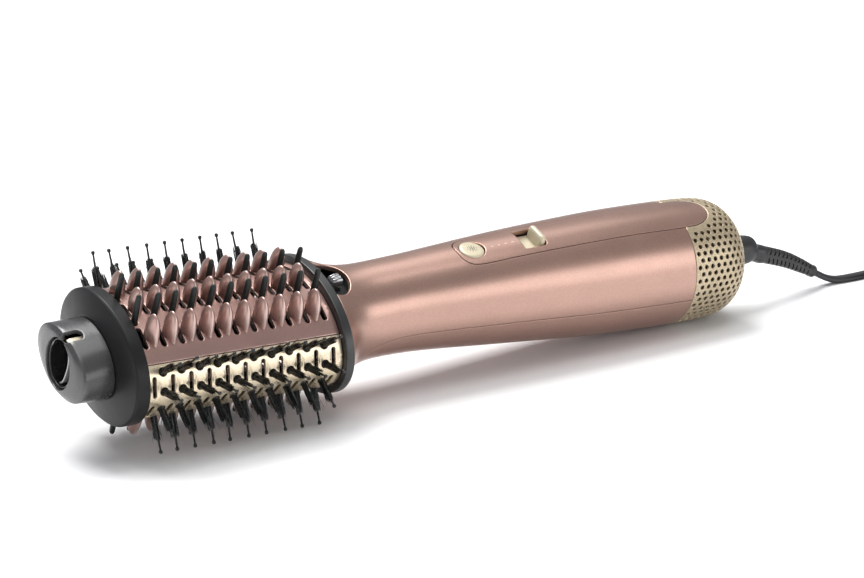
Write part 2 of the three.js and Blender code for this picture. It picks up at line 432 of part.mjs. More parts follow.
add('cord_tail', flex(TAIL, 4), BLACK, 0.55, 0, group);
{
  const half = [[PLUG.x, 2.9], [324, 5], [331, 14], [336, 16.6], [PLUG.face, 17.4]];
  const outline = [...half.map(([x, y]) => [x, PLUG.y - y]), ...half.slice().reverse().map(([x, y]) => [x, PLUG.y + y])];
  const prong = y => round([[PLUG.face - 1, 0], [PLUG.face - 1, PLUG.pinR], [PLUG.tip - 1, PLUG.pinR], [PLUG.tip, 1.4], [PLUG.tip, 0]], PLUG.z, 8, y);
  add('plug', join(sweepZ(outline, PLUG.z - PLUG.half, PLUG.z + PLUG.half), prong(PLUG.y - PLUG.pinY), prong(PLUG.y + PLUG.pinY)), BLACK, 0.5, 0, group);
}

brush.rotation.set(ROLL_DEG * D, PITCH_DEG * D, 0, 'YXZ');
brush.position.set(...SHIFT);
group.add(brush);

export default group;
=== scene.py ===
"""Hot air brush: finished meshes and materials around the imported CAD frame."""
import math

import bmesh
import bpy
import numpy as np
from mathutils import Matrix, Vector
from mathutils.geometry import delaunay_2d_cdt
from mathutils.kdtree import KDTree


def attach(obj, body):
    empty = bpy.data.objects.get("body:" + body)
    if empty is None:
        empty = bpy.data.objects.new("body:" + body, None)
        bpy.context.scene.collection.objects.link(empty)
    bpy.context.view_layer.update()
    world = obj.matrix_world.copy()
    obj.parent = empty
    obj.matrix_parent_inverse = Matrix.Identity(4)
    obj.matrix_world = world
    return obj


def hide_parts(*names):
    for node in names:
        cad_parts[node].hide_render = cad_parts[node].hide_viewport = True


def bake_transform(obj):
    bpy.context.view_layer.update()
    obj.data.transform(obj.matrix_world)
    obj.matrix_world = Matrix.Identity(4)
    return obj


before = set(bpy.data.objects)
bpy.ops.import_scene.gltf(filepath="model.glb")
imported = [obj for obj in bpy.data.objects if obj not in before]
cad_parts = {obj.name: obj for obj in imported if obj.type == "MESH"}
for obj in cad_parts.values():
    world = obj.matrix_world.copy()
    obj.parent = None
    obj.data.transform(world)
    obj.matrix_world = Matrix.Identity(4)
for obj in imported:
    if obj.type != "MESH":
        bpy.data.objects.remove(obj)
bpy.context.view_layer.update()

rng = np.random.default_rng(11)
scene = bpy.context.scene
scene.view_settings.view_transform = "Standard"
scene.view_settings.look = "None"

# ------------------------------------------------------------------- camera
cam_data = bpy.data.cameras.new("camera")
cam_data.sensor_width = 36.0
cam_data.lens = 129.613
cam_data.clip_start, cam_data.clip_end = 0.05, 60
cam = bpy.data.objects.new("camera", cam_data)
scene.collection.objects.link(cam)
R_, U_, F_ = Vector((0.83226, -0.55404, -0.01982)), Vector((0.17536, 0.22917, 0.95746)), Vector((0.52593, 0.80033, -0.28788))
m = Matrix.Identity(4)
for i in range(3):
    m[i][0], m[i][1], m[i][2] = R_[i], U_[i], -F_[i]
m.translation = Vector((-0.77831, -1.15567, 0.45703))
cam.matrix_world = m
scene.camera = cam

# -------------------------------------------------- the brush's straight frame
# millimetres: x along the axis to the rear, y to the far side, z out of the top plate
RHO, TAU = math.radians(21.17), math.radians(2.45)
SHIFT = np.array([-184.115, 0.0, 41.984])
RX = np.array([[1, 0, 0], [0, math.cos(RHO), -math.sin(RHO)], [0, math.sin(RHO), math.cos(RHO)]])
RY = np.array([[math.cos(TAU), 0, math.sin(TAU)], [0, 1, 0], [-math.sin(TAU), 0, math.cos(TAU)]])
A = RY @ RX
D = math.pi / 180

PITCH, SLOTS, TUFTS = 9.0, 11, 10
BA, BB, PLATE_T = 36.45, 23.6, 1.8
HEAD_X0, HEAD_X1, SEAM_DEG = -3.6, 94.5, 38.1
FIN_HALF, FIN_T = 4.77, 6.0
BRISTLE_Y, BRISTLE_TIP = 8.55, 37.35
TUFT_ROWS = [(31.10, 12.07, 48.6, 16.7), (35.80, 4.52, 21.5, 14.8)]
SEAM_X, WALL = 297.4, 2.2
HANDLE = [
    [99.4, 38.8, 26.9, 0.0], [103, 33.4, 25.4, 0.3], [108, 28.2, 24.0, 0.7], [114, 25.0, 22.9, 1.1], [121, 23.1, 22.3, 1.5],
    [131, 22.4, 22.3, 2.0], [147, 22.8, 22.8, 2.5], [170, 24.3, 24.3, 2.7], [190, 25.8, 25.8, 2.7], [211, 27.2, 27.2, 2.6],
    [239, 28.9, 28.9, 2.1], [268, 30.0, 30.0, 1.8], [285, 30.25, 30.25, 1.5], [297.55, 30.3, 30.3, 1.35], [305, 30.2, 30.2, 1.3],
    [312, 30.0, 30.0, 1.25], [318, 29.7, 29.7, 1.2], [324, 28.7, 28.7, 1.2], [329, 26.5, 26.5, 1.2], [333, 22.7, 22.7, 1.2],
    [336, 16.6, 16.6, 1.1], [337.6, 8.0, 8.0, 1.0],
]


def to_row(p):
    return (np.asarray(p, float) @ A.T + SHIFT) / 1000.0


# ------------------------------------------------------------------ mesh tools
PIECES = {}


def piece(name, parts, material, body, replaces=(), frame_="L", smooth=True, angle=None):
    """One object from [(vertices, faces), ...] in brush or row millimetres."""
    V, F, n = [], [], 0
    for v, f in parts:
        v = np.asarray(v, float)
        V.append(v)
        F.extend([tuple(int(i) + n for i in q) for q in f])
        n += len(v)
    V = np.vstack(V)
    V = to_row(V) if frame_ == "L" else V / 1000.0
    me = bpy.data.meshes.new(name)
    me.from_pydata(V.tolist(), [], F)
    me.validate()
    me.polygons.foreach_set("use_smooth", [smooth] * len(me.polygons))
    if angle is not None:
        me.set_sharp_from_angle(angle=math.radians(angle))
    me.materials.append(material)
    me.update()
    o = bpy.data.objects.new(name, me)
    scene.collection.objects.link(o)
    if body:
        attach(o, body)
    if replaces:
        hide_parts(*replaces)
    PIECES[name] = o
    return o


def outward(v, f):
    """Faces turned so that the closed body's volume is positive."""
    v = np.asarray(v, float)
    vol = 0.0
    for q in f:
        a = v[q[0]]
        for k in range(1, len(q) - 1):
            vol += np.dot(a, np.cross(v[q[k]], v[q[k + 1]]))
    return (v, f) if vol > 0 else (v, [tuple(reversed(q)) for q in f])


def loft(rings, cap=True, close=False):
    """Closed body through rings of equal length; a ring of one point closes an end."""
    V, idx, F = [], [], []
    n = max(len(r) for r in rings)
    for r in rings:
        idx.append(len(V))
        V.extend(np.asarray(r, float).tolist())
    count = len(rings)
    pairs = [(k, k + 1) for k in range(count - 1)] + ([(count - 1, 0)] if close else [])
    for a, b in pairs:
        la, lb = len(rings[a]), len(rings[b])
        for i in range(n):
            j = (i + 1) % n
            if la == 1 and lb == 1:
                continue
            if la == 1:
                F.append((idx[a], idx[b] + j, idx[b] + i))
            elif lb == 1:
                F.append((idx[a] + i, idx[a] + j, idx[b]))
            else:
                F.append((idx[a] + i, idx[a] + j, idx[b] + j, idx[b] + i))
    if cap and not close:
        if len(rings[0]) > 1:
            F.append(tuple(reversed([idx[0] + i for i in range(n)])))
        if len(rings[-1]) > 1:
            F.append(tuple(idx[-1] + i for i in range(n)))
    return outward(V, F)


def fillet(pts, r, n=4, closed=False):
    """Polyline with its corners rounded; r is one radius or one per corner."""
    P = np.asarray(pts, float)
    m_ = len(P)
    rr = [r] * m_ if np.isscalar(r) else list(r)
    out = []
    for i in range(m_):
        if not closed and i in (0, m_ - 1):
            out.append(P[i])
            continue
        a, b, c = P[i - 1], P[i], P[(i + 1) % m_]
        la, lc = np.linalg.norm(a - b), np.linalg.norm(c - b)
        d = min(rr[i], 0.48 * la, 0.48 * lc)
        if d < 1e-4:
            out.append(b)
            continue
        p, q = b + (a - b) / la * d, b + (c - b) / lc * d
        for k in range(n + 1):
            t = k / n
            out.append((1 - t) ** 2 * p + 2 * t * (1 - t) * b + t * t * q)
    return np.array(out)


def densify(P, step, closed=True):
    """Straight stretches longer than step are split."""
    P = np.asarray(P, float)
    out = []
    n = len(P)
    for i in range(n if closed else n - 1):
        a, b = P[i], P[(i + 1) % n]
        k = max(1, int(math.ceil(np.linalg.norm(b - a) / step)))
        for j in range(k):
            out.append(a + (b - a) * j / k)
    if not closed:
        out.append(P[-1])
    return np.array(out)


def oval_ring(x, a, b, cz=0.0, seg=96, cy=0.0, power=2.0):
    t = np.arange(seg) / seg * 2 * math.pi
    c, s = np.cos(t), np.sin(t)
    if power != 2.0:
        k = (np.abs(c) ** power + np.abs(s) ** power) ** (-1 / power)
        c, s = c * k, s * k
    return np.stack([np.full(seg, x), cy + a * c, cz + b * s], 1)


def oval_body(profile, seg=96, closed=True, cz=0.0):
    """profile: rows x, half width, half height; closed section or ends on the axis."""
    rings = []
    for x, a, b in profile:
        rings.append(np.array([[x, 0, cz]]) if a < 1e-6 else oval_ring(x, a, b, cz, seg))
    return loft(rings, cap=False, close=closed)


def spline(points, n):
    """Centripetal curve through the points, n samples evenly spaced along it."""
    P = np.asarray(points, float)
    P = np.vstack([2 * P[0] - P[1], P, 2 * P[-1] - P[-2]])
    out = []
    for i in range(1, len(P) - 2):
        p0, p1, p2, p3 = P[i - 1:i + 3]
        t0 = 0.0
        t1 = t0 + np.linalg.norm(p1 - p0) ** 0.5
        t2 = t1 + np.linalg.norm(p2 - p1) ** 0.5
        t3 = t2 + np.linalg.norm(p3 - p2) ** 0.5
        for t in np.linspace(t1, t2, 24, endpoint=False):
            a1 = (t1 - t) / (t1 - t0) * p0 + (t - t0) / (t1 - t0) * p1
            a2 = (t2 - t) / (t2 - t1) * p1 + (t - t1) / (t2 - t1) * p2
            a3 = (t3 - t) / (t3 - t2) * p2 + (t - t2) / (t3 - t2) * p3
            b1 = (t2 - t) / (t2 - t0) * a1 + (t - t0) / (t2 - t0) * a2
            b2 = (t3 - t) / (t3 - t1) * a2 + (t - t1) / (t3 - t1) * a3
            out.append((t2 - t) / (t2 - t1) * b1 + (t - t1) / (t2 - t1) * b2)
    out.append(P[-2])
    out = np.array(out)
    s = np.r_[0, np.cumsum(np.linalg.norm(np.diff(out, axis=0), axis=1))]
    q = np.linspace(0, s[-1], n)
    return np.stack([np.interp(q, s, out[:, k]) for k in range(out.shape[1])], 1)


def inside(points, loop):
    """Which points lie inside the closed loop."""
    x, y = points[:, 0], points[:, 1]
    ok = np.zeros(len(points), bool)
    lo, hi = loop.min(0), loop.max(0)
    near = np.where((x > lo[0]) & (x < hi[0]) & (y > lo[1]) & (y < hi[1]))[0]
    if not len(near):
        return ok
    px, py = x[near][:, None], y[near][:, None]
    a, b = loop, np.roll(loop, -1, 0)
    cross = (a[None, :, 1] > py) != (b[None, :, 1] > py)
    dy = np.where(np.abs(b[:, 1] - a[:, 1]) < 1e-12, 1e-12, b[:, 1] - a[:, 1])
    xi = a[None, :, 0] + (py - a[None, :, 1]) * (b[:, 0] - a[:, 0])[None] / dy[None]
    ok[near] = ((cross & (px < xi)).sum(1) % 2) == 1
    return ok


def area(loop):
    a, b = loop, np.roll(loop, -1, 0)
    return 0.5 * float((a[:, 0] * b[:, 1] - b[:, 0] * a[:, 1]).sum())


def miter(loop):
    """Offset directions into the material, for a loop with the material on its left."""
    e = np.roll(loop, -1, 0) - loop
    e /= np.maximum(np.linalg.norm(e, axis=1), 1e-9)[:, None]
    nl = np.stack([-e[:, 1], e[:, 0]], 1)
    pr = np.roll(nl, 1, 0)
    return (nl + pr) / np.maximum(1 + (nl * pr).sum(1), 0.5)[:, None]


def stadium(cx, cy, hx, hy, n=8, vertical=True):
    """Slot outline; the long way is the second axis if vertical."""
    r, half = (hx, hy - hx) if vertical else (hy, hx - hy)
    pts = []
    for k in range(2 * n):
        t = (k + 0.5) / (2 * n) * 2 * math.pi
        c, s = math.cos(t), math.sin(t)
        pts.append([cx + r * c, cy + r * s + (half if s > 0 else -half)] if vertical else [cx + r * c + (half if c > 0 else -half), cy + r * s])
    return np.array(pts)


def circle(cx, cy, r, n=16, ry=None):
    t = np.arange(n) / n * 2 * math.pi
    return np.stack([cx + r * np.cos(t), cy + (ry or r) * np.sin(t)], 1)


def surface_normals(S, uv):
    e = 0.05
    du = S(uv + [e, 0]) - S(uv - [e, 0])
    dv = S(uv + [0, e]) - S(uv - [0, e])
    n = np.cross(du, dv)
    return n / np.maximum(np.linalg.norm(n, axis=1), 1e-9)[:, None]


def shell(S, outer, holes, T, r=0.3, lip=0.35, step=1.6, arc=3, radii=None, hole_r=None, seam=None, extra=None):
    """Closed sheet of thickness T on the surface S(uv), with rounded rims round its
    outline and its holes.  radii: rim radius per point of the outline; seam: edges of
    the outline (by first point) where the sheet meets itself; extra: points the mesh
    must pass through."""
    outer = outer if area(outer) > 0 else outer[::-1]
    loops, offs, rads, seams = [outer], [miter(outer)], [np.full(len(outer), r) if radii is None else np.asarray(radii)], [np.zeros(len(outer), bool)]
    if seam is not None:
        s = np.array([seam(outer[i], outer[(i + 1) % len(outer)]) for i in range(len(outer))])
        touch = s | np.roll(s, 1)
        both = s & np.roll(s, 1)
        o = offs[0].copy()
        e = np.roll(outer, -1, 0) - outer
        for i in np.where(touch)[0]:
            if both[i]:
                o[i] = 0
            else:
                k = i if not s[i] else i - 1                # the edge that is not on the seam
                d = e[k] / max(np.linalg.norm(e[k]), 1e-9)
                nrm = np.array([-d[1], d[0]])
                o[i] = [math.copysign(min(1.0 / max(abs(nrm[0]), 0.4), 2), nrm[0]), 0]
        offs[0] = o
        seams[0] = s
    for k, h in enumerate(holes):
        h = h if area(h) < 0 else h[::-1]
        loops.append(h)
        offs.append(miter(h))
        rads.append(np.full(len(h), (hole_r if hole_r is not None else r)))
        seams.append(np.zeros(len(h), bool))
    levels = [(1.0, lip, 0.0), (1.0, 0.0, 0.0)]
    for k in range(1, arc + 1):
        a = k / arc * math.pi / 2
        levels.append((1 - math.sin(a), 0.0, 1 - math.cos(a)))
    nl = len(levels) + 2
    U, DEP, base = [], [], []
    count = 0
    for L, o, rd in zip(loops, offs, rads):
        row = []
        for (ki, kl, kd) in levels:
            row.append(count)
            U.append(L + o * (rd * ki + kl)[:, None])
            DEP.append(rd * kd)
            count += len(L)
        for kl in (0.0, lip):
            row.append(count)
            U.append(L + o * (rd * (kl > 0) + kl)[:, None])
            DEP.append(np.full(len(L), T))
            count += len(L)
        base.append(row)
    edge0 = [L + o * (rd + lip)[:, None] for L, o, rd in zip(loops, offs, rads)]
    lo, hi = edge0[0].min(0), edge0[0].max(0)
    hexy = step * 0.866
    gx = np.arange(lo[0] + step / 2, hi[0], step)
    gy = np.arange(lo[1] + hexy / 2, hi[1], hexy)
    G = np.array([[x + (step / 2 if j % 2 else 0), y] for j, y in enumerate(gy) for x in gx])
    G = G[inside(G, edge0[0])]
    for h in edge0[1:]:
        G = G[~inside(G, h)]
    tree = KDTree(sum(len(e) for e in edge0))
    k = 0
    for e in edge0:
        for p in e:
            tree.insert((p[0], p[1], 0), k)
            k += 1
    tree.balance()
    G = np.array([p for p in G if tree.find((p[0], p[1], 0))[2] > 0.55 * step]).reshape(-1, 2)
    if extra is not None:
        E = extra[inside(extra, edge0[0])]
        for h in edge0[1:]:
            E = E[~inside(E, h)]
        E = np.array([p for p in E if tree.find((p[0], p[1], 0))[2] > 0.12])
        far = KDTree(len(E))
        for k, p in enumerate(E):
            far.insert((p[0], p[1], 0), k)
        far.balance()
        G = np.array([p for p in G if far.find((p[0], p[1], 0))[2] > 0.5 * step]).reshape(-1, 2)
        G = np.vstack([G, E])
    allp = np.vstack(edge0 + [G]) if len(G) else np.vstack(edge0)
    edges, k = [], 0
    for e in edge0:
        n = len(e)
        edges += [(k + i, k + (i + 1) % n) for i in range(n)]
        k += n
    ring_count = k
    vo, _, fo, ov, _, _ = delaunay_2d_cdt([Vector(p) for p in allp.tolist()], edges, [], 1, 1e-6, True)
    back_to = [o_[0] if len(o_) else -1 for o_ in ov]
    vo2 = np.array([[v.x, v.y] for v in vo])
    tri = np.array([t for t in fo if len(t) == 3])
    cen = vo2[tri].mean(1)
    keep = inside(cen, edge0[0])
    for h in edge0[1:]:
        keep &= ~inside(cen, h)
    tri = tri[keep]
    top_of, bot_of, k = {}, {}, 0
    for L, row in zip(loops, base):
        for i in range(len(L)):
            top_of[k] = row[0] + i
            bot_of[k] = row[-1] + i
            k += 1
    U.append(G if len(G) else np.zeros((0, 2)))
    DEP.append(np.zeros(len(G)))
    gtop = count
    count += len(G)
    U.append(G if len(G) else np.zeros((0, 2)))
    DEP.append(np.full(len(G), T))
    gbot = count
    count += len(G)
    F = []
    for t in tri:
        q = [back_to[i] for i in t]
        if min(q) < 0 or len(set(q)) < 3:
            continue
        a, b, c = vo2[t[0]], vo2[t[1]], vo2[t[2]]
        if (b[0] - a[0]) * (c[1] - a[1]) - (b[1] - a[1]) * (c[0] - a[0]) < 0:
            q = q[::-1]
        F.append(tuple(top_of[i] if i < ring_count else gtop + i - ring_count for i in q))
        F.append(tuple(bot_of[i] if i < ring_count else gbot + i - ring_count for i in q[::-1]))
    for L, row, sm in zip(loops, base, seams):
        n = len(L)
        for a, b in zip(row, row[1:]):
            for i in range(n):
                if sm[i]:
                    continue
                j = (i + 1) % n
                F.append((b + i, b + j, a + j, a + i))
    U, DEP = np.vstack(U), np.concatenate(DEP)
    N = surface_normals(S, U)
    return S(U) - N * DEP[:, None], F


def weld(o, dist=1e-6):
    bm = bmesh.new()
    bm.from_mesh(o.data)
    bmesh.ops.remove_doubles(bm, verts=bm.verts, dist=dist)
    bm.to_mesh(o.data)
    bm.free()
    o.data.update()


# -------------------------------------------------------------------- materials
def material(name, col, metallic=0.0, rough=0.4, rvar=0.05, var=0.04, broad=30.0, grain=1800.0, grain_mix=0.05,
             bump=0.000012, bump_scale=2500.0, coat=0.0, coat_rough=0.12, flake=0.0, edge=None, edge_highlight_amount=0.5, ior=1.5,
             spec=0.5, sheen=0.0, second=None, stretch=None):
    """Procedural surface: broad tone change, fine grain, optional metal flake, a painted highlight that lightens sharp
    edges, and a moulded bump.
    """
    mt = bpy.data.materials.new(name)
    mt.use_nodes = True
    nt = mt.node_tree
    nt.nodes.clear()
    N = nt.nodes.new
    out, bsdf = N("ShaderNodeOutputMaterial"), N("ShaderNodeBsdfPrincipled")
    nt.links.new(bsdf.outputs[0], out.inputs[0])
    bsdf.inputs["Metallic"].default_value = metallic
    bsdf.inputs["IOR"].default_value = ior
    bsdf.inputs["Specular IOR Level"].default_value = spec
    bsdf.inputs["Coat Weight"].default_value = coat
    bsdf.inputs["Coat Roughness"].default_value = coat_rough
    tc = N("ShaderNodeTexCoord")
    co = tc.outputs["Object"]
    if stretch:
        mp = N("ShaderNodeMapping")
        mp.inputs["Scale"].default_value = stretch
        nt.links.new(co, mp.inputs[0])
        co_s = mp.outputs[0]
    else:
        co_s = co

    def noise(scale, detail=3.0, source=None, rough_=0.5):
        n = N("ShaderNodeTexNoise")
        n.inputs["Scale"].default_value = scale
        n.inputs["Detail"].default_value = detail
        n.inputs["Roughness"].default_value = rough_
        nt.links.new(source or co, n.inputs["Vector"])
        return n.outputs["Fac"]

    def mix(fac, a, b, blend="MIX"):
        n = N("ShaderNodeMix")
        n.data_type, n.blend_type = "RGBA", blend
        for socket, value in ((n.inputs[0], fac), (n.inputs[6], a), (n.inputs[7], b)):
            if isinstance(value, (float, int)):
                socket.default_value = value
            elif isinstance(value, (tuple, list)):
                socket.default_value = (*value[:3], 1)
            else:
                nt.links.new(value, socket)
        return n.outputs[2]

    def ranged(v, a, b, c, d):
        n = N("ShaderNodeMapRange")
        nt.links.new(v, n.inputs[0])
        for k, x in zip((1, 2, 3, 4), (a, b, c, d)):
            n.inputs[k].default_value = x
        return n.outputs[0]

    dark = tuple(c * (1 - var) for c in col)
    light = tuple(min(1, c * (1 + var)) for c in (second or col))
    tone = mix(ranged(noise(broad, 4.0), 0.3, 0.7, 0, 1), dark, light)
    g = noise(grain, 2.0, co_s)
    speck = mix(ranged(g, 0.35, 0.65, 0, 1), tuple(c * (1 - grain_mix) for c in (1, 1, 1)), (1.0, 1.0, 1.0))
    tone = mix(1.0, tone, speck, "MULTIPLY")
    if flake:
        v = N("ShaderNodeTexVoronoi")
        v.inputs["Scale"].default_value = 3600
        nt.links.new(co, v.inputs["Vector"])
        b = N("ShaderNodeRGBToBW")
        nt.links.new(v.outputs["Color"], b.inputs[0])
        spark = ranged(b.outputs[0], 0.25, 0.8, 1 - flake, 1 + 0.6 * flake)
        c = N("ShaderNodeCombineColor")
        for k in range(3):
            nt.links.new(spark, c.inputs[k])
        tone = mix(1.0, tone, c.outputs[0], "MULTIPLY")
    # painted highlight: sharp convex edges (found by pointiness) are mixed towards the lighter edge colour, standing
    # in for light caught on bevelled rims
    if edge is not None:
        geo = N("ShaderNodeNewGeometry")
        rim = ranged(geo.outputs["Pointiness"], 0.515, 0.58, 0, edge_highlight_amount)
        tone = mix(rim, tone, edge)
    nt.links.new(tone, bsdf.inputs["Base Color"])
    nt.links.new(ranged(noise(broad * 2.7, 5.0, None, 0.6), 0.25, 0.75, max(0.02, rough - rvar), rough + rvar), bsdf.inputs["Roughness"])
    bp = N("ShaderNodeBump")
    bp.inputs["Strength"].default_value = 0.6
    bp.inputs["Distance"].default_value = bump
    nt.links.new(noise(bump_scale, 3.0, co_s), bp.inputs["Height"])
    nt.links.new(bp.outputs[0], bsdf.inputs["Normal"])
    return mt


# in these materials the colour after the flake value, and the number after it, are a painted edge highlight and its
# amount (amount 0 on the cap; none on hair, metals, mica, board and prints)
ROSE = material("rose_lacquer", (0.47, 0.292, 0.236), 0.86, 0.32, 0.03, 0.03, 22, 5200, 0.10, 0.000004, 5200, 0.30, 0.22, 0.10,
                (0.70, 0.50, 0.42), 0.06, second=(0.48, 0.298, 0.241))
ROSE_PLATE = material("rose_plate_lacquer", (0.43, 0.268, 0.232), 0.72, 0.33, 0.04, 0.04, 40, 4200, 0.10, 0.000006, 4200, 0.25, 0.2, 0.08,
                      (0.95, 0.74, 0.68), 0.85, second=(0.44, 0.273, 0.236))
GOLD = material("champagne_lacquer", (0.78, 0.66, 0.49), 0.80, 0.28, 0.04, 0.04, 40, 4200, 0.08, 0.000005, 4200, 0.25, 0.2, 0.10,
                (0.98, 0.90, 0.76), 0.55, second=(0.79, 0.66, 0.46))
GRILLE = material("champagne_speckled", (0.58, 0.47, 0.315), 0.62, 0.40, 0.05, 0.06, 60, 3000, 0.28, 0.00002, 3000, 0.15, 0.25, 0.30,
                  (0.80, 0.70, 0.52), 0.25, second=(0.62, 0.51, 0.35))
CHARCOAL = material("charcoal_plastic", (0.020, 0.020, 0.0205), 0.0, 0.34, 0.05, 0.08, 50, 2600, 0.12, 0.00001, 2600, 0.12, 0.28, 0.0,
                    (0.22, 0.22, 0.22), 0.5)
BLACK = material("black_plastic", (0.018, 0.018, 0.019), 0.0, 0.42, 0.06, 0.10, 60, 2600, 0.14, 0.000014, 2400, 0.0, 0.1, 0.0,
                 (0.09, 0.09, 0.09), 0.4)
# painted light: the vane's light grey base and bright edge colour stand in for the light seen inside the dark tip
VANE_PAINTED_LIGHT = material("vane_painted_light_grey", (0.19, 0.19, 0.192), 0.3, 0.30, 0.04, 0.06, 60, 2600, 0.10, 0.000006, 2600, 0.2, 0.2, 0.0,
                (0.5, 0.5, 0.5), 0.7)
CAP = material("cap_satin", (0.0125, 0.0125, 0.013), 0.0, 0.36, 0.05, 0.08, 50, 2600, 0.12, 0.00001, 2600, 0.0, 0.28, 0.0,
               (0.20, 0.20, 0.20), 0.0, spec=0.2)
# painted light: the knob's base is made several times lighter than the cap's black, standing in for the light the knob
# catches
KNOB_PAINTED_LIGHT = material("knob_satin_painted_light", (0.045, 0.045, 0.0455), 0.0, 0.27, 0.04, 0.07, 50, 2600, 0.10, 0.000008, 2600, 0.25, 0.2, 0.0,
                 (0.24, 0.24, 0.24), 0.4)
DARK = material("dark_satin", (0.010, 0.010, 0.0105), 0.0, 0.26, 0.05, 0.10, 60, 2600, 0.14, 0.00001, 2400, 0.0, 0.1, 0.0,
                (0.30, 0.30, 0.30), 0.8)
CREAM = material("cream_gloss", (0.56, 0.495, 0.35), 0.15, 0.34, 0.04, 0.025, 60, 2600, 0.03, 0.000005, 2600, 0.2, 0.15, 0.0,
                 (0.86, 0.80, 0.64), 0.4)
GREY_GLOSS = material("grey_gloss", (0.30, 0.30, 0.31), 0.75, 0.15, 0.03, 0.06, 80, 2600, 0.06, 0.000004, 2600, 0.6, 0.06, 0.0,
                      (0.5, 0.5, 0.5), 0.4)
NYLON = material("bristle_nylon", (0.010, 0.0135, 0.0128), 0.0, 0.40, 0.06, 0.15, 150, 3000, 0.15, 0.000012, 3000, 0.0, 0.2, 0.0,
                 (0.05, 0.06, 0.058), 0.3, spec=0.32)
HAIR = material("tuft_nylon", (0.008, 0.009, 0.009), 0.0, 0.26, 0.06, 0.3, 900, 6000, 0.3, 0.000004, 6000, 0.1, 0.15)
RUBBER = material("cord_rubber", (0.020, 0.020, 0.021), 0.0, 0.40, 0.06, 0.12, 50, 2200, 0.16, 0.000018, 1900, 0.0, 0.1, 0.0,
                  (0.08, 0.08, 0.08), 0.25)
STEEL = material("turned_steel", (0.56, 0.56, 0.57), 1.0, 0.30, 0.06, 0.04, 80, 2600, 0.10, 0.000006, 2600, stretch=(1, 6, 6))
NICKEL = material("nickel_pin", (0.66, 0.63, 0.57), 1.0, 0.18, 0.04, 0.04, 90, 2600, 0.05, 0.000003, 2600)
MICA = material("mica_sheet", (0.62, 0.56, 0.40), 0.0, 0.35, 0.08, 0.16, 220, 1500, 0.2, 0.00002, 900, second=(0.72, 0.66, 0.50))
BOARD = material("circuit_green", (0.03, 0.13, 0.06), 0.0, 0.35, 0.06, 0.12, 240, 1800, 0.15, 0.00001, 1500, 0.4, 0.1)
COIL_WIRE = material("heater_wire", (0.45, 0.40, 0.36), 1.0, 0.38, 0.08, 0.14, 200, 2400, 0.15, 0.00001, 2400)
CORE = material("core_grey", (0.09, 0.09, 0.092), 0.0, 0.46, 0.06, 0.08, 60, 2400, 0.12, 0.00002, 2000)
MARK = material("pad_print", (0.66, 0.47, 0.40), 0.1, 0.45, 0.05, 0.04, 200, 2400, 0.08, 0.000003, 2400)
ICON = material("icon_print", (0.10, 0.095, 0.085), 0.0, 0.45, 0.05, 0.08, 200, 2400, 0.08, 0.000003, 2400)

# ------------------------------------------------------------------------ cord
CORD_A, CORD_B, CORD_LEN = 2.7, 1.7, 1.80
RUN = [[212.06, 0, 8.2], [215.2, -0.1, 6.4], [218.4, -0.3, 4.6], [222.0, -0.7, 3.0], [226.0, -1.3, 2.0], [231.0, -2.0, 1.75],
       [238.0, -2.6, 1.75], [244.0, -2.7, 1.75], [251.4, -2.3, 1.75], [262.0, -0.6, 1.75], [271.0, 1.8, 1.75]]
COIL_C, COIL_OUT, COIL_IN = (280.0, -33.0), 36.2, 23.8
TAIL = [[290.0, 3.2, 12.3], [301.0, 3.2, 12.0], [308.0, 3.2, 11.5], [316.5, 3.2, 11.0]]
route = [list(p) for p in RUN]
TURNS, LAYERS = 9.0, 4
N_COIL = 9 * 24
for k in range(N_COIL + 1):
    t = k / N_COIL
    turn = t * TURNS
    layer = min(int(turn / (TURNS / LAYERS)), LAYERS - 1)
    f = turn / (TURNS / LAYERS) - layer
    r0, r1 = (COIL_OUT, COIL_IN) if layer % 2 == 0 else (COIL_IN, COIL_OUT)
    g = f * f * (3 - 2 * f) * 0.35 + f * 0.65
    rr = r0 + (r1 - r0) * g
    climb = 0.10
    z = 1.75 + 3.5 * layer
    if layer and f < climb:
        q = f / climb
        z -= 3.5 * (1 - q * q * (3 - 2 * q)) * 0.5
    if layer < LAYERS - 1 and f > 1 - climb:
        q = (f - 1 + climb) / climb
        z += 3.5 * (q * q * (3 - 2 * q)) * 0.5
    ang = math.pi / 2 - turn * 2 * math.pi
    route.append([COIL_C[0] + rr * math.cos(ang), COIL_C[1] + rr * math.sin(ang), z])
route += TAIL
path = spline(route, 2200)
seg_len = np.linalg.norm(np.diff(path, axis=0), axis=1).sum()
print("cord route", round(seg_len, 1), "mm")


def twin_section(n=20, a=CORD_A, b=CORD_B, groove=0.32):
    """Two round cores side by side in one oval sheath: points across (u) and up (v)."""
    pts = []
    for k in range(n):
        t = 2 * math.pi * (k + 0.5) / n
        u, v = a * math.cos(t), b * math.sin(t)
        v *= (abs(math.cos(t)) ** 2.6 + abs(math.sin(t)) ** 2.6) ** (-1 / 2.6)
        u *= (abs(math.cos(t)) ** 2.2 + abs(math.sin(t)) ** 2.2) ** (-1 / 2.2)
        v -= math.copysign(groove * math.exp(-(u / 0.55) ** 2), v)
        pts.append((u, v))
    return np.array(pts)


def sweep(P, section, scale=None, up=(0, 0, 1), cap=True):
    T = np.gradient(P, axis=0)
    T /= np.linalg.norm(T, axis=1)[:, None]
    side = np.cross(T, np.array(up, float))
    side /= np.linalg.norm(side, axis=1)[:, None]
    nrm = np.cross(side, T)
    rings = []
    for i in range(len(P)):
        s = section if scale is None else section * scale[i]
        rings.append(P[i] + s[:, :1] * side[i] + s[:, 1:] * nrm[i])
    return loft(rings, cap=cap)


flex_path = path[::2] if len(path) % 2 else np.vstack([path[::2], path[-1:]])
cord_mesh = sweep(flex_path, twin_section())
cord = piece("cord", [cord_mesh], RUBBER, None, ("cord_run", "cord_coil", "cord_tail"), "row")
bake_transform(cord)

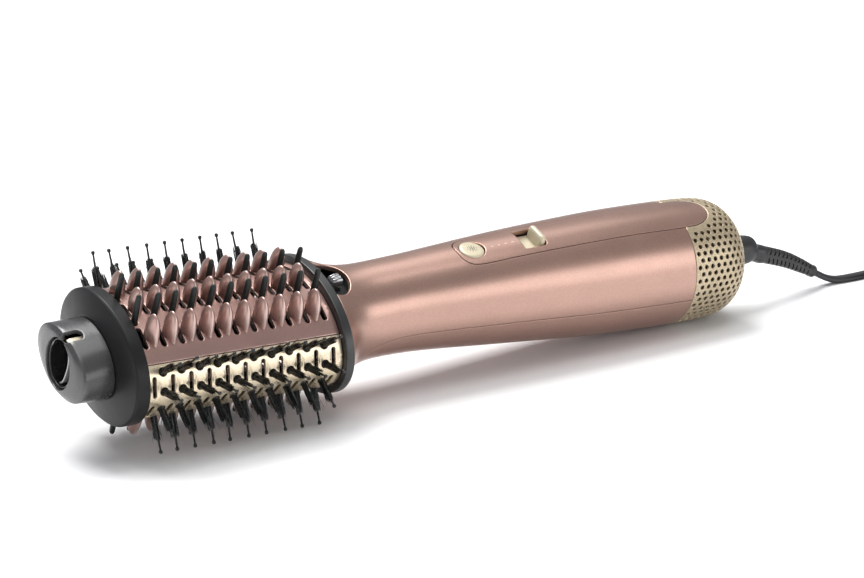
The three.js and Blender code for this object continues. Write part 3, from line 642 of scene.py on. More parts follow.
# strap that holds the coil: a folded band over one side of the ring
tie_line = fillet([[-72.9, 0.25], [-72.9, 15.1], [-53.1, 15.1], [-53.1, 0.25]], 2.2, 6)
band = []
for x in (277.6, 277.75, 282.25, 282.4):
    w = 0.18 if x in (277.6, 282.4) else 0.0
    outer_l = tie_line
    e = np.gradient(outer_l, axis=0)
    e /= np.linalg.norm(e, axis=1)[:, None]
    nn = np.stack([e[:, 1], -e[:, 0]], 1)
    ring = np.vstack([outer_l + nn * w, (outer_l + nn * (0.62 - w))[::-1]])
    band.append(np.stack([np.full(len(ring), x), ring[:, 0], ring[:, 1]], 1))
tie = piece("cord_strap", [loft(band)], BLACK, "handle", ("cord_tie",), "row", angle=40)

# plug: moulded body and two pins
PLUG_Y, PLUG_Z = 3.2, 11.0
body_rings = []
for x, hw, hh in fillet([[315.6, 0, 0], [315.6, 3.4, 3.0], [324, 5.0, 4.6], [331, 13.6, 9.6], [337, 16.7, 10.8], [349.8, 17.3, 10.85], [352, 16.2, 9.8], [352, 0, 0]],
                        [0, .6, 6, 5, 4, 1.2, .8, 0], 5):
    body_rings.append(np.array([[x, PLUG_Y, PLUG_Z]]) if hw < 1e-6 else oval_ring(x, hw, hh, PLUG_Z, 64, PLUG_Y, 3.2))
plug_parts = [loft(body_rings, cap=False)]
for k in range(5):          # grip ribs on the shoulders
    for sy in (-1, 1):
        x = 339.2 + k * 2.2
        rib = [oval_ring(x + dx, w * 0.75, 4.9 * q, PLUG_Z, 20, PLUG_Y + sy * 16.9) for dx, w, q in ((-0.5, .3, .9), (-0.3, .62, 1), (0.3, .62, 1), (0.5, .3, .9))]
        plug_parts.append(loft(rib))
plug_body = piece("plug_body", plug_parts, BLACK, "handle", ("plug",), "row", angle=45)
pins = []
for sy in (-1, 1):
    prof = fillet([[350.5, 0, 0], [350.5, 2.35, 2.35], [361.5, 2.35, 2.35], [361.6, 2.4, 2.4], [369.6, 2.4, 2.4], [371, 1.4, 1.4], [371, 0, 0]], [0, 0, 0, 0, .8, .5, 0], 4)
    rings_ = [np.array([[x, PLUG_Y + sy * 9.5, PLUG_Z]]) if a < 1e-6 else oval_ring(x, a, a, PLUG_Z, 24, PLUG_Y + sy * 9.5) for x, a, b in prof]
    pins.append(loft(rings_, cap=False))
plug_pins = piece("plug_pins", pins, NICKEL, "handle", (), "row", angle=40)
sleeves = []
for sy in (-1, 1):
    rings_ = [oval_ring(x, a, a, PLUG_Z, 24, PLUG_Y + sy * 9.5) for x, a in ((351.0, 2.38), (351.0, 2.43), (361.2, 2.43), (361.3, 2.36))]
    sleeves.append(loft(rings_))
plug_sleeves = piece("plug_sleeves", sleeves, BLACK, "handle", (), "row", angle=40)

# -------------------------------------------------------------------- brush head
# arc length of the oval, from the top towards +y
_t = np.linspace(-math.pi, math.pi, 8001)
_ey, _ez = BA * np.sin(_t), BB * np.cos(_t)
_es = np.r_[0, np.cumsum(np.hypot(np.diff(_ey), np.diff(_ez)))]
_es -= np.interp(0, _t, _es)


def arc_of_angle(t):
    return float(np.interp(t, _t, _es))


def s_at_y(y):
    return arc_of_angle(math.asin(y / BA))


def s_at_z(z):                       # on the far side
    return arc_of_angle(math.acos(z / BB))


def barrel(uv):
    t = np.interp(uv[:, 1], _es, _t)
    return np.stack([uv[:, 0], BA * np.sin(t), BB * np.cos(t)], 1)


def mirrored(mesh, axis):
    v, f = mesh
    v = np.array(v, float)
    v[:, axis] *= -1
    return v, [tuple(reversed(q)) for q in f]


S_SEAM = arc_of_angle(math.pi / 2 - (SEAM_DEG + 0.35) * D)
outline = densify(fillet([[HEAD_X0, -S_SEAM], [HEAD_X1, -S_SEAM], [HEAD_X1, S_SEAM], [HEAD_X0, S_SEAM]], 0.5, 3, True), 1.6)
holes = []
for y in (-16.65, 0, 16.65):
    s0, s1 = s_at_y(y - FIN_HALF - (1.1 if y < 0 else 0)), s_at_y(y + FIN_HALF + (1.1 if y > 0 else 0))
    for i in range(SLOTS):
        holes.append(stadium(i * PITCH, (s0 + s1) / 2, 1.28, (s1 - s0) / 2, 6))
for y in (-BRISTLE_Y, BRISTLE_Y):
    for i in range(SLOTS):
        holes.append(circle(i * PITCH, s_at_y(y), 1.8, 16))
sheet = shell(barrel, outline, holes, PLATE_T, r=0.3, hole_r=0.42, lip=0.22, step=1.5, arc=3)


def fin(x, y, tip):
    zc = BB * math.sqrt(1 - (y / BA) ** 2)
    z0 = BB * math.sqrt(1 - ((abs(y) + FIN_HALF) / BA) ** 2) - 1.0 if y else zc - 0.9
    rings, seg = [], 28
    t = np.arange(seg) / seg * 2 * math.pi
    c, s = np.cos(t), np.sin(t)
    for q in (0, .06, .14, .24, .35, .46, .57, .67, .76, .84, .90, .945, .975, .992):
        z = z0 + (tip - z0) * q
        hh = (FIN_HALF + (0.7 if y else 0.1)) * (1 - q ** 2.6) ** 0.55
        tt = 3.55 * (1 - 0.10 * ((0.3 - q) / 0.3) ** 2 if q < 0.3 else 1 - 0.62 * ((q - 0.3) / 0.7) ** 1.7) * (1 - q ** 6) ** 0.5
        p = 1.22 + 0.6 * q
        lean = (0.35 if y > 0 else -0.35 if y < 0 else 0) * (1 - q)
        k = (np.abs(c) ** p + np.abs(s) ** p) ** (-1 / p)
        rings.append(np.stack([x + tt * c * k, y + lean + hh * s * k, np.full(seg, z)], 1))
    rings.append(np.array([[x, y, tip]]))
    return loft(rings)


fins = [fin((i + 0.5) * PITCH, y, 34.65 if y == 0 else 32.0) for y in (-16.65, 0, 16.65) for i in range(TUFTS)]
piece("plate_top", [sheet] + fins, ROSE_PLATE, "head", ("top_plate",))
piece("plate_bottom", [mirrored(sheet, 2)] + [mirrored(f_, 2) for f_ in fins], ROSE_PLATE, "head", ("bottom_plate",))

# side panels: sheet round the far side, with vents and tuft holes
S_A, S_B = arc_of_angle(math.pi / 2 - (SEAM_DEG - 0.35) * D), arc_of_angle(math.pi / 2 + (SEAM_DEG - 0.35) * D)
outline = densify(fillet([[HEAD_X0, S_A], [HEAD_X1, S_A], [HEAD_X1, S_B], [HEAD_X0, S_B]], 0.5, 3, True), 1.6)
holes = []
for sg in (1, -1):
    a, b = sorted((s_at_z(sg * 2.07), s_at_z(sg * 10.8)))
    for i in range(SLOTS):
        holes.append(stadium(i * PITCH, (a + b) / 2, 1.02, (b - a) / 2, 5))
    for ty, tz, deg, reach in TUFT_ROWS:
        s = s_at_z(sg * tz)
        for i in range(TUFTS):
            holes.append(circle((i + 0.5) * PITCH, s, 1.95, 18))
side = shell(barrel, outline, holes, PLATE_T, r=0.3, hole_r=0.28, lip=0.2, step=1.5, arc=3)
piece("side_panel_far", [side], GOLD, "head", ("far_side_panel",))
piece("side_panel_near", [mirrored(side, 1)], GOLD, "head", ("near_side_panel",))


def box_body(x0, x1, y0, y1, z0, z1):
    v = [[x, y, z] for x in (x0, x1) for y in (y0, y1) for z in (z0, z1)]
    return outward(v, [(0, 1, 3, 2), (4, 6, 7, 5), (0, 4, 5, 1), (2, 3, 7, 6), (0, 2, 6, 4), (1, 5, 7, 3)])


def rod(p, d, profile, seg=12, flat=1.0, twist=None):
    """Turned body from p along d; profile rows: distance, radius."""
    p, d = np.asarray(p, float), np.asarray(d, float)
    d = d / np.linalg.norm(d)
    a = np.array([1.0, 0, 0])
    b = np.cross(d, a)
    b /= np.linalg.norm(b)
    t = np.arange(seg) / seg * 2 * math.pi
    rings = []
    for q, r in profile:
        rings.append((p + d * q)[None] if r < 1e-6 else p + d * q + r * (np.outer(np.cos(t), a) * flat + np.outer(np.sin(t), b)))
    return loft(rings, cap=True)


# bristles: tapered pins with round ends, on a bar behind the plate
zt = BB * math.sqrt(1 - (BRISTLE_Y / BA) ** 2)
for side_name, sz in (("top", 1), ("bottom", -1)):
    for where, sy in (("near", -1), ("far", 1)):
        parts = [box_body(-1.9, 91.9, sy * BRISTLE_Y - 1.2, sy * BRISTLE_Y + 1.2, zt - 3.9, zt - 2.2)]
        for i in range(SLOTS):
            L_ = BRISTLE_TIP - (zt - 2.4)
            prof = [(0, 1.62), (1.8, 1.62), (2.6, 1.6), (L_ * 0.5, 1.52), (L_ - 2.0, 1.36), (L_ - 1.0, 1.2), (L_ - 0.4, 0.86), (L_ - 0.1, 0.42), (L_, 0)]
            parts.append(rod([i * PITCH, sy * BRISTLE_Y, zt - 2.4], [0.02 * rng.normal(), 0.015 * rng.normal(), 1], prof, 16, 0.92))
        if sz < 0:
            parts = [mirrored(p_, 2) for p_ in parts]
        piece(f"bristles_{side_name}_{where}", parts, NYLON, "head", (f"bristle_strip_{side_name}_{where}",), angle=50)


def hairs(p, d, reach, count=74, part=0.62):
    """A tuft: fine hairs from a round base, slightly splayed and frayed at the ends."""
    p, d = np.asarray(p, float), np.asarray(d, float)
    a = np.array([1.0, 0, 0])
    b = np.cross(d, a)
    V, F = [], []
    n = 0
    for h in range(count):
        r, t = 1.5 * math.sqrt(rng.random()), rng.random() * 2 * math.pi
        base = r * (math.cos(t) * a + math.sin(t) * b)
        wild = rng.random() < 0.07
        L_ = reach * part * (rng.uniform(0.90, 1.03) if not wild else rng.uniform(0.8, 1.18))
        spread = rng.uniform(0.92, 1.14) if not wild else rng.uniform(1.4, 2.2)
        tipo = base * spread + rng.normal(0, 0.12 if not wild else 0.6) * a + rng.normal(0, 0.12 if not wild else 0.6) * b
        mid = base * (1 + (spread - 1) * 0.35) + rng.normal(0, 0.07) * a + rng.normal(0, 0.07) * b
        w0 = rng.uniform(0.13, 0.19) if not wild else 0.10
        for q, off, w in ((-1.2, base, w0), (L_ * 0.5, mid, w0), (L_ * 0.82, base + (tipo - base) * 0.72, w0 * 0.85), (L_, tipo, w0 * 0.35)):
            c0 = p + d * q + off
            for k in range(4):
                tt = k * math.pi / 2 + h
                V.append(c0 + w * (math.cos(tt) * a + math.sin(tt) * b))
        for ring_ in range(3):
            for k in range(4):
                k2 = (k + 1) % 4
                F.append((n + ring_ * 4 + k, n + ring_ * 4 + k2, n + ring_ * 4 + 4 + k2, n + ring_ * 4 + 4 + k))
        F.append((n + 3, n + 2, n + 1, n))
        F.append((n + 12, n + 13, n + 14, n + 15))
        n += 16
    v = np.array(V)
    # turn the faces outwards if the side frame is left handed
    return v, (F if np.dot(np.cross(a, b), d) > 0 else [tuple(reversed(q)) for q in F])


for k, (ty, tz, deg, reach) in enumerate(TUFT_ROWS):
    for where, sy in (("near", -1), ("far", 1)):
        for level, sz in (("upper", 1), ("lower", -1)):
            d = np.array([0, sy * math.cos(deg * D), sz * math.sin(deg * D)])
            nrm = np.array([0, -d[2], d[1]])
            p = np.array([0, sy * ty, sz * tz])
            c0, c1 = p - d * 4.65, p - d * 3.05
            bar = np.array([[c0[1], c0[2]], [c1[1], c1[2]]])
            quad = [bar[0] - nrm[1:] * 1.25, bar[1] - nrm[1:] * 1.25, bar[1] + nrm[1:] * 1.25, bar[0] + nrm[1:] * 1.25]
            parts = [loft([np.array([[x, q[0], q[1]] for q in quad]) for x in (2.2, 87.8)])]
            pins_ = []
            for i in range(TUFTS):
                c = p + [(i + 0.5) * PITCH, 0, 0]
                # round boss that holds the tuft, level with the panel
                parts.append(rod(c, d, [(-3.6, 1.7), (-0.9, 1.7), (-0.25, 1.62), (0.1, 1.35), (0.28, 0.7), (0.32, 0)], 18))
                dd = d + np.array([0.02 * rng.normal(), 0, 0]) + nrm * 0.02 * rng.normal()
                L_ = reach + (0.9 if sz > 0 else 0.0)
                pins_.append(rod(c, dd, [(-0.3, 0.62), (L_ * 0.5, 0.56), (L_ - 2.0, 0.44), (L_ - 1.75, 0.58), (L_ - 1.4, 0.80), (L_ - 0.95, 0.90), (L_ - 0.5, 0.82), (L_ - 0.18, 0.54), (L_, 0)], 12))
                pins_.append(hairs(c, d, reach, part=0.74 if k else 0.62))
            piece(f"tufts_{where}_{'inner' if k else 'outer'}_{level}", parts + pins_, HAIR, "head",
                  (f"tuft_strip_{where}_{'inner' if k else 'outer'}_{level}",), angle=60)

# front cap, tip knob, sleeve, dish with its vane, back ring
cap_profile = fillet([
    [-2.8, 37.25, 26.85], [-8.6, 37.2, 26.9], [-9.55, 36.3, 26.1], [-12.0, 23.2, 17.0],
    [-12.0, 17.2, 12.6], [-8.2, 34.0, 23.6], [-3.95, 34.4, 24.0], [-3.75, 36.75, 24.0], [-2.8, 36.85, 24.15]], [0.3, 0.22, 0.22, 0.5, 0.4, 1.0, 0.1, 0.1, 0.15], 4, True)
piece("cap_front", [oval_body(cap_profile, 160)], CAP, "head", ("front_cap",), angle=50)

KN = [[-12.3, 22.2, 16.0], [-20.0, 22.6, 15.3], [-27.05, 22.9, 14.6], [-27.35, 22.4, 14.35], [-28.35, 17.0, 13.3], [-28.8, 11.1, 12.0]]
kn = fillet(KN, [0, 3, 0.3, 0.3, 2.0, 0], 6)
kn_m = np.r_[0, np.cumsum([np.linalg.norm(kn[i + 1] - kn[i]) for i in range(len(kn) - 1)])]
KM = kn_m[-1]
m_slot = float(np.interp(19.8, -kn[:, 0], kn_m))


def knob(uv):
    """u: distance from the eye's rim back along the shell, v: round the axis, 16 mm a radian, 0 on top."""
    q = np.clip(KM - uv[:, 0], -0.2, KM + 0.2)
    x, a, b = (np.interp(q, kn_m, kn[:, k]) for k in range(3))
    over = (KM - uv[:, 0]) - q
    x = x - over
    ph = uv[:, 1] / 16.0
    return np.stack([x, a * np.sin(ph), b * np.cos(ph)], 1)


V0, V1 = -math.pi / 2 * 16, 3 * math.pi / 2 * 16
half_s, s_len = 2.25, KM - m_slot
def key(cv):
    out_ = [[-0.0, cv - half_s], [s_len - half_s, cv - half_s]]
    for k in range(1, 8):
        a = -math.pi / 2 + k * math.pi / 8
        out_.append([s_len - half_s + half_s * math.cos(a), cv + half_s * math.sin(a)])
    out_ += [[s_len - half_s, cv + half_s], [0.0, cv + half_s]]
    return out_
KU = KM
outline_k = [[0.0, V0]]
outline_k += key(-0.55)
outline_k += [[0.0, V1], [KU, V1], [KU, V0]]
outline_k = densify(np.array(outline_k), 1.4)
radii_k = np.where(outline_k[:, 0] > KU - 0.1, 0.25, 0.42)
seam_k = lambda p, q: (abs(p[1] - V0) < 1e-6 and abs(q[1] - V0) < 1e-6) or (abs(p[1] - V1) < 1e-6 and abs(q[1] - V1) < 1e-6)
crease = float(np.interp(27.25, -kn[:, 0], kn_m))
rows = [[KM - crease + du, V0 + (k + 0.5) / 128 * (V1 - V0)] for du in (-0.42, -0.14, 0.14, 0.42) for k in range(128)]
mesh_k = shell(knob, outline_k, [], 1.9, lip=0.3, step=1.2, extra=np.array(rows), radii=radii_k if area(outline_k) > 0 else radii_k[::-1], seam=seam_k)
mesh_k = (mesh_k[0], mesh_k[1]) if np.sign(area(outline_k)) else mesh_k
o = piece("knob_shell", [outward(*mesh_k)], KNOB_PAINTED_LIGHT, "head", ("tip_knob",))
weld(o, 2e-6)

sleeve_prof = fillet([[-13.4, 19.6, 12.9], [-24.6, 19.6, 12.6], [-26.4, 15.4, 12.05], [-26.3, 14.6, 11.2], [-24.2, 18.5, 11.6], [-13.4, 18.6, 11.8]], 0.3, 3, True)
band = []
for t in np.linspace(38 * D, 361.0 * D, 90):          # open towards the far side of the slot
    band.append(np.stack([sleeve_prof[:, 0], sleeve_prof[:, 1] * math.sin(t), sleeve_prof[:, 2] * math.cos(t)], 1))
piece("sleeve_tip", [loft(band)], CREAM, "head", ("tip_sleeve",), angle=50)
dish = fillet([[-14.2, 0, 0], [-14.2, 17.0, 10.3], [-23.0, 17.4, 10.5], [-23.4, 11.3, 11.0], [-27.6, 10.35, 11.35], [-27.75, 10.0, 11.0],
               [-27.4, 9.6, 10.6], [-18.0, 9.0, 9.8], [-16.6, 7.5, 8.4], [-16.2, 0, 0]], [0, .8, .6, .6, .2, .2, .3, 1.2, 1.5, 0], 5)
parts = [oval_body(dish, 96, closed=False)]
# curved vane that stands across the inner tube, its free edge facing out
vane_line = spline([[2.2, 10.0], [-1.8, 9.3], [-4.9, 7.3], [-6.1, 3.3], [-5.3, -2.9], [-3.5, -7.4], [-1.0, -10.0]], 41)
ev = np.gradient(vane_line, axis=0)
ev /= np.linalg.norm(ev, axis=1)[:, None]
nv = np.stack([-ev[:, 1], ev[:, 0]], 1)
tube = parts
vane_rings = []
for q_, (y_, z_) in enumerate(vane_line):
    k_ = abs(q_ - 20) / 20
    front, back_ = -27.35 + 0.9 * k_ ** 2, -16.4
    col = [(back_, 1.6), (front + 1.6, 0.48), (front + 0.2, 0.42), (front, 0.28), (front, -0.28), (front + 0.2, -0.42), (front + 1.6, -0.48), (back_, -0.6)]
    vane_rings.append(np.array([[x_, y_ + nv[q_, 0] * w_, z_ + nv[q_, 1] * w_] for x_, w_ in col]))
piece("dish_vane", [loft(vane_rings)], VANE_PAINTED_LIGHT, "head", (), angle=40)
piece("dish_tip", tube, DARK, "head", ("tip_deflector",), angle=55)

ring_prof = fillet([[94.8, 39.6, 27.3], [99.1, 39.6, 27.3], [99.1, 16.8, 16.8], [94.8, 16.8, 16.8]], [0.55, 0.7, 0.3, 0.3], 6, True)
piece("ring_back", [oval_body(ring_prof, 160)], CHARCOAL, "head", ("back_ring",), angle=50)

# ------------------------------------------------------------------------ handle
H = np.array(HANDLE)


def natural_cubic(x, y, q):
    n = len(x)
    h = np.diff(x)
    Am, rhs = np.zeros((n, n)), np.zeros(n)
    Am[0, 0] = Am[-1, -1] = 1
    for i in range(1, n - 1):
        Am[i, i - 1], Am[i, i], Am[i, i + 1] = h[i - 1], 2 * (h[i - 1] + h[i]), h[i]
        rhs[i] = 3 * ((y[i + 1] - y[i]) / h[i] - (y[i] - y[i - 1]) / h[i - 1])
    c = np.linalg.solve(Am, rhs)
    b = (y[1:] - y[:-1]) / h - h * (2 * c[:-1] + c[1:]) / 3
    d_ = (c[1:] - c[:-1]) / (3 * h)
    k = np.clip(np.searchsorted(x, q) - 1, 0, n - 2)
    dx = q - x[k]
    return y[k] + b[k] * dx + c[k] * dx ** 2 + d_[k] * dx ** 3


# the skin's stations along its own length, so that the flare and the rear dome are even
sk = np.r_[0, np.cumsum(np.hypot(np.diff(H[:, 0]), np.diff(H[:, 2])))]
fine = np.linspace(0, sk[-1], 1600)
skin = np.stack([natural_cubic(sk, H[:, k], fine) for k in range(4)], 1)


def soften(col, sigma):
    n = int(4 * sigma)
    w = np.exp(-0.5 * (np.arange(-n, n + 1) / sigma) ** 2)
    w /= w.sum()
    pad = np.r_[2 * col[0] - col[n:0:-1], col, 2 * col[-1] - col[-2:-n - 2:-1]]
    return np.convolve(pad, w, "valid")


for k in range(4):
    soft_ = soften(skin[:, k], 9)
    blend_ = np.clip((fine - 4) / 12, 0, 1) * np.clip((sk[-1] - 26 - fine) / 14, 0, 1)
    skin[:, k] = skin[:, k] * (1 - blend_) + soft_ * blend_
VK = 26.0


def body_skin(uv):
    q = uv[:, 0]
    x, a, b, c = (np.interp(q, fine, skin[:, k]) for k in range(4))
    ph = uv[:, 1] / VK
    return np.stack([x, a * np.sin(ph), c + b * np.cos(ph)], 1)


def u_of(x):
    return float(np.interp(x, skin[:, 0], fine))


def v_of(x, y):
    return VK * math.asin(max(-1, min(1, y / np.interp(x, skin[:, 0], skin[:, 1]))))


UF, UR = u_of(99.4), u_of(SEAM_X - 0.15)
# seam line between upper and lower shell, on the far side (x, degrees from the top)
seam_pts = [(109.0, 180), (109.3, 158), (110.4, 141), (112.8, 122), (117, 107.5), (124, 98.5), (135, 94), (160, 93.2), (230, 92.9), (290, 92.6), (297.25, 92.6)]
low = spline([[u_of(x), deg * D * VK] for x, deg in seam_pts], 220)
half_low = np.vstack([low])
mir = half_low.copy()
mir[:, 1] *= -1


def inset_line(L, d, left=True):
    e = np.gradient(L, axis=0)
    e /= np.linalg.norm(e, axis=1)[:, None]
    n = np.stack([-e[:, 1], e[:, 0]], 1)
    return L + n * (d if left else -d)


def plan(o):
    return [[172.4 - o, 0.0], [172.5 - o, 3.2], [173.6 - o * 0.9, 6.3 + o * .4], [176.2 - o * 0.4, 8.6 + o * 0.8], [181, 9.55 + o], [200, 9.85 + o], [230, 10.1 + o], [265, 10.4 + o],
            [298, 10.6 + o], [306.5, 9.9 + o], [312.0, 7.6 + o * .7], [315.0 + o * .7, 4.2 + o * .3], [315.8 + o, 0.0]]


def plan_loop(o, n=90):
    half_ = spline(plan(o), n)
    full = np.vstack([half_, (half_ * [1, -1])[::-1][1:-1]])
    return np.array([[u_of(x), v_of(x, y)] for x, y in full]), half_


# upper shell outline, going round with the material on the left
notch_half = [[0.0, 0.0]]
NX = [[99.4, 13.6], [100.6, 13.3], [104.2, 12.6], [107.6, 10.9], [110.3, 8.0], [111.9, 4.2], [112.4, 0.0]]
notch = spline(NX, 26)
notch_uv = np.array([[u_of(x), v_of(x, y)] for x, y in notch])
g = 0.15
lower_far = inset_line(low, g, False)               # towards the top, away from the lower shell
if lower_far[100, 1] > low[100, 1]:
    lower_far = inset_line(low, g, True)
lower_far[0] = [low[0, 0] - g, math.pi * VK]
_, half_out = plan_loop(0.38)
half_in_front = np.array([[u_of(x), v_of(x, y)] for x, y in half_out if x < SEAM_X - 0.15])
cut_y = float(np.interp(SEAM_X - 0.15, half_out[:, 0], half_out[:, 1])) if False else 10.9
far_rear = [UR, v_of(SEAM_X - 0.15, 10.9)]
loop = []
loop += [[UF, -math.pi * VK]]
loop += (notch_uv * [1, -1]).tolist()                # (99.4, -13.6) .. (112.4, 0)
loop += notch_uv[::-1][1:].tolist()                  # .. (99.4, +13.6)
loop += [[UF, math.pi * VK]]
loop += lower_far.tolist()                           # seam edge, then the lower line to the rear
loop += [[UR, lower_far[-1, 1]], far_rear]
loop += half_in_front[::-1].tolist()                 # panel bay, far side to the front
loop += (half_in_front * [1, -1])[1:].tolist()
loop += [[far_rear[0], -far_rear[1]], [UR, -lower_far[-1, 1]]]
loop += (lower_far * [1, -1])[::-1].tolist()
loop = np.array(loop)


def clean(L, tol=0.05):
    keep = [0]
    for i in range(1, len(L)):
        if np.linalg.norm(L[i] - L[keep[-1]]) > tol:
            keep.append(i)
    if np.linalg.norm(L[keep[-1]] - L[0]) < tol:
        keep.pop()
    return L[keep]


loop = densify(clean(loop), 1.6)
PV = math.pi * VK
seam_h = lambda p, q: (abs(abs(p[1]) - PV) < 1e-6 and abs(abs(q[1]) - PV) < 1e-6 and p[1] * q[1] > 0)
front = np.clip((u_of(116) - loop[:, 0]) / (u_of(116) - UF), 0, 1) * (np.abs(loop[:, 1]) < v_of(100, 15) + 3)
rad = np.maximum(0.14 + 0.60 * front, np.where(loop[:, 0] < UF + 0.1, 0.62, 0))
if area(loop) < 0:
    loop, rad = loop[::-1], rad[::-1]
mesh_u = shell(body_skin, loop, [], WALL, lip=0.35, step=1.7, radii=rad, seam=seam_h)
o = piece("shell_upper", [mesh_u], ROSE, "handle", ("handle_upper_shell",))
weld(o, 2e-6)

# lower shell: behind and below the line
lo_line = inset_line(low, g, True)
if lo_line[100, 1] < low[100, 1]:
    lo_line = inset_line(low, g, False)
lo_line[0] = [low[0, 0] + g, math.pi * VK]
other = lo_line.copy()
other[:, 1] = 2 * math.pi * VK - other[:, 1]
loop = np.vstack([lo_line[::-1], other[1:]])
loop[0, 0] = loop[-1, 0] = UR
loop = densify(clean(loop), 1.6)
screw_holes = [circle(u_of(x), math.pi * VK, 3.3, 28, 3.3 * VK / np.interp(x, skin[:, 0], skin[:, 2])) for x in (182, 270)]
mesh_l = shell(body_skin, loop, screw_holes, WALL, r=0.14, lip=0.35, step=1.7, hole_r=0.4)
piece("shell_lower", [mesh_l], ROSE, "handle", ("handle_lower_shell",))

# control panel with the button's hole and the switch window
panel_uv, _ = plan_loop(-0.06)
panel_uv = densify(clean(panel_uv, 0.12), 1.6)
hb = circle(u_of(180.3), 0, 6.48, 48)
win = fillet([[u_of(206.2), -v_of(212, 6.9)], [u_of(218.8), -v_of(212, 6.9)], [u_of(218.8), v_of(212, 6.9)], [u_of(206.2), v_of(212, 6.9)]], [0.8, 2.4, 2.4, 0.8], 6, True)
mesh_p = shell(body_skin, panel_uv, [hb, densify(win, 1.2)], WALL, r=0.15, lip=0.3, step=1.6, hole_r=0.3)
piece("panel_control", [mesh_p], ROSE, "handle", ("control_panel",))

# rear grille: perforated shell round the air inlet, closed towards the swivel
GU0, GU1 = u_of(SEAM_X + 0.15), fine[-1]
_, half_g = plan_loop(0.35)
bay = np.array([[u_of(x), v_of(x, y)] for x, y in half_g if x > SEAM_X + 0.15])
edge_v = v_of(SEAM_X + 0.15, 10.95)
loop = [[GU0, -PV], [GU0, -edge_v]] + (bay * [1, -1]).tolist() + bay[::-1][1:].tolist() + [[GU0, edge_v], [GU0, PV], [GU1, PV], [GU1, -PV]]
loop = densify(clean(np.array(loop)), 1.6)
bay_poly = np.vstack([[[GU0 - 5, -edge_v - 1.6]], (bay * [1, -1]) + [1.5, 0], (bay[::-1][1:]) + [1.5, 0], [[GU0 - 5, edge_v + 1.6]]])
holes, ROWS, ALONG = [], 56, 3.85
for j in range(ROWS):
    v = (j + 0.5) / ROWS * 2 * PV - PV
    for i in range(12):
        u = GU0 + 2.2 + (i + (0.5 if j % 2 else 0)) * ALONG
        r_here = float(np.interp(u, fine, skin[:, 1]))
        if r_here < 22.5 or u > GU1 - 3:
            continue
        c = circle(u, v, 1.14, 14, 1.14 * VK / r_here)
        if np.any(inside(c, bay_poly)) or (abs(v) < edge_v + 2.2 and u < u_of(304)):
            continue
        near = np.min(np.linalg.norm(bay * [1, math.copysign(1, v)] - [u, v], axis=1))
        if near < 1.75:
            continue
        holes.append(c)
seam_g = seam_h
corner = np.minimum(np.linalg.norm(loop - [GU0, edge_v], axis=1), np.linalg.norm(loop - [GU0, -edge_v], axis=1))
GR = np.where(corner < 2.0, 0.10, 0.24)
mesh_g = shell(body_skin, loop, holes, 1.7, radii=GR, lip=0.12, step=1.9, arc=2, hole_r=0.15, seam=seam_g)
o = piece("grille_rear", [outward(*mesh_g)], GRILLE, "handle", ("rear_grille",))
weld(o, 2e-6)
print("grille holes", len(holes))

# screws: countersunk heads with a cross recess
for name, x in (("screw_front", 182), ("screw_rear", 270)):
    r_, c_ = float(np.interp(x, skin[:, 0], skin[:, 2])), float(np.interp(x, skin[:, 0], skin[:, 3]))
    z = c_ - r_ + 0.9
    n = 32
    t = np.arange(n) / n * 2 * math.pi
    rings_ = []
    for h_, rr in ((0, None), (0.0, 2.5), (0.12, 2.85), (0.5, 3.0), (1.7, 3.0), (1.7, 1.4), (6.9, 1.4), (7.1, 1.2)):
        if rr is None:
            cross = 0.62 + 1.15 * np.maximum(0, np.cos(2 * t)) ** 6
            rings_ = [np.array([[x, 0, z + 1.3]]), np.stack([x + cross * .55 * np.cos(t), cross * .55 * np.sin(t), np.full(n, z + 1.2)], 1),
                      np.stack([x + cross * np.cos(t), cross * np.sin(t), np.full(n, z + 0.02)], 1)]
        else:
            rings_.append(np.stack([x + rr * np.cos(t), rr * np.sin(t), np.full(n, z + h_)], 1))
    piece(name, [loft(rings_)], STEEL, "handle", (f"case_{name}",), angle=35)

# button, switch and their prints
btn = fillet([[0, 22.2], [8, 22.2], [8, 23.1], [6.1, 23.1], [6.1, 27.4], [5.1, 27.95], [0, 28.1]], [0, .2, .2, .1, .5, 2.2, 0], 6)
crown = btn[btn[:, 1] > 27.5][::-1]
t64 = np.arange(64) / 64 * 2 * math.pi
rings_ = [np.array([[180.3, 0, z]]) if r_ < 1e-6 else np.stack([180.3 + r_ * np.cos(t64), r_ * np.sin(t64), np.full(64, z)], 1) for r_, z in btn]
piece("button", [loft(rings_, cap=False)], CREAM, "push_button", ("push_button",), angle=50)
dots = []
for r_, n_ in ((0.0, 1), (1.15, 6), (2.3, 10)):
    for k in range(n_):
        a = k / n_ * 2 * math.pi + 0.3 * r_
        cx, cy = 180.3 + r_ * math.cos(a), r_ * math.sin(a) * 0.9
        zz = float(np.interp(math.hypot(cx - 180.3, cy), crown[:, 0], crown[:, 1]))
        rad_ = 0.40 if r_ < 2 else 0.30
        tt = np.arange(12) / 12 * 2 * math.pi
        dots.append(loft([np.stack([cx + q * rad_ * np.cos(tt), cy + q * rad_ * np.sin(tt), np.full(12, zz + h_)], 1) for q, h_ in ((1, -0.1), (1, 0.015), (0.8, 0.03))]))
piece("button_print", dots, ICON, "push_button")
marks = []
for k, x in enumerate((190.6, 194.4, 198.2, 202.2)):
    hw, hl = 0.42, 0.55 + 0.1 * k
    u0 = u_of(x)
    P_ = fillet([[u0 - hl, -1.2 - hw * .7], [u0 + hl, -1.2 - hw * .7], [u0 + hl, -1.2 + hw * .7], [u0 - hl, -1.2 + hw * .7]], 0.3, 3, True)
    n_ = surface_normals(body_skin, P_)
    S_ = body_skin(P_)
    marks.append(loft([S_ - n_ * 0.1, S_ + n_ * 0.02, S_ + n_ * 0.02 + (S_.mean(0) - S_) * 0.12 + n_ * 0.012]))
piece("panel_print", marks, MARK, "handle")

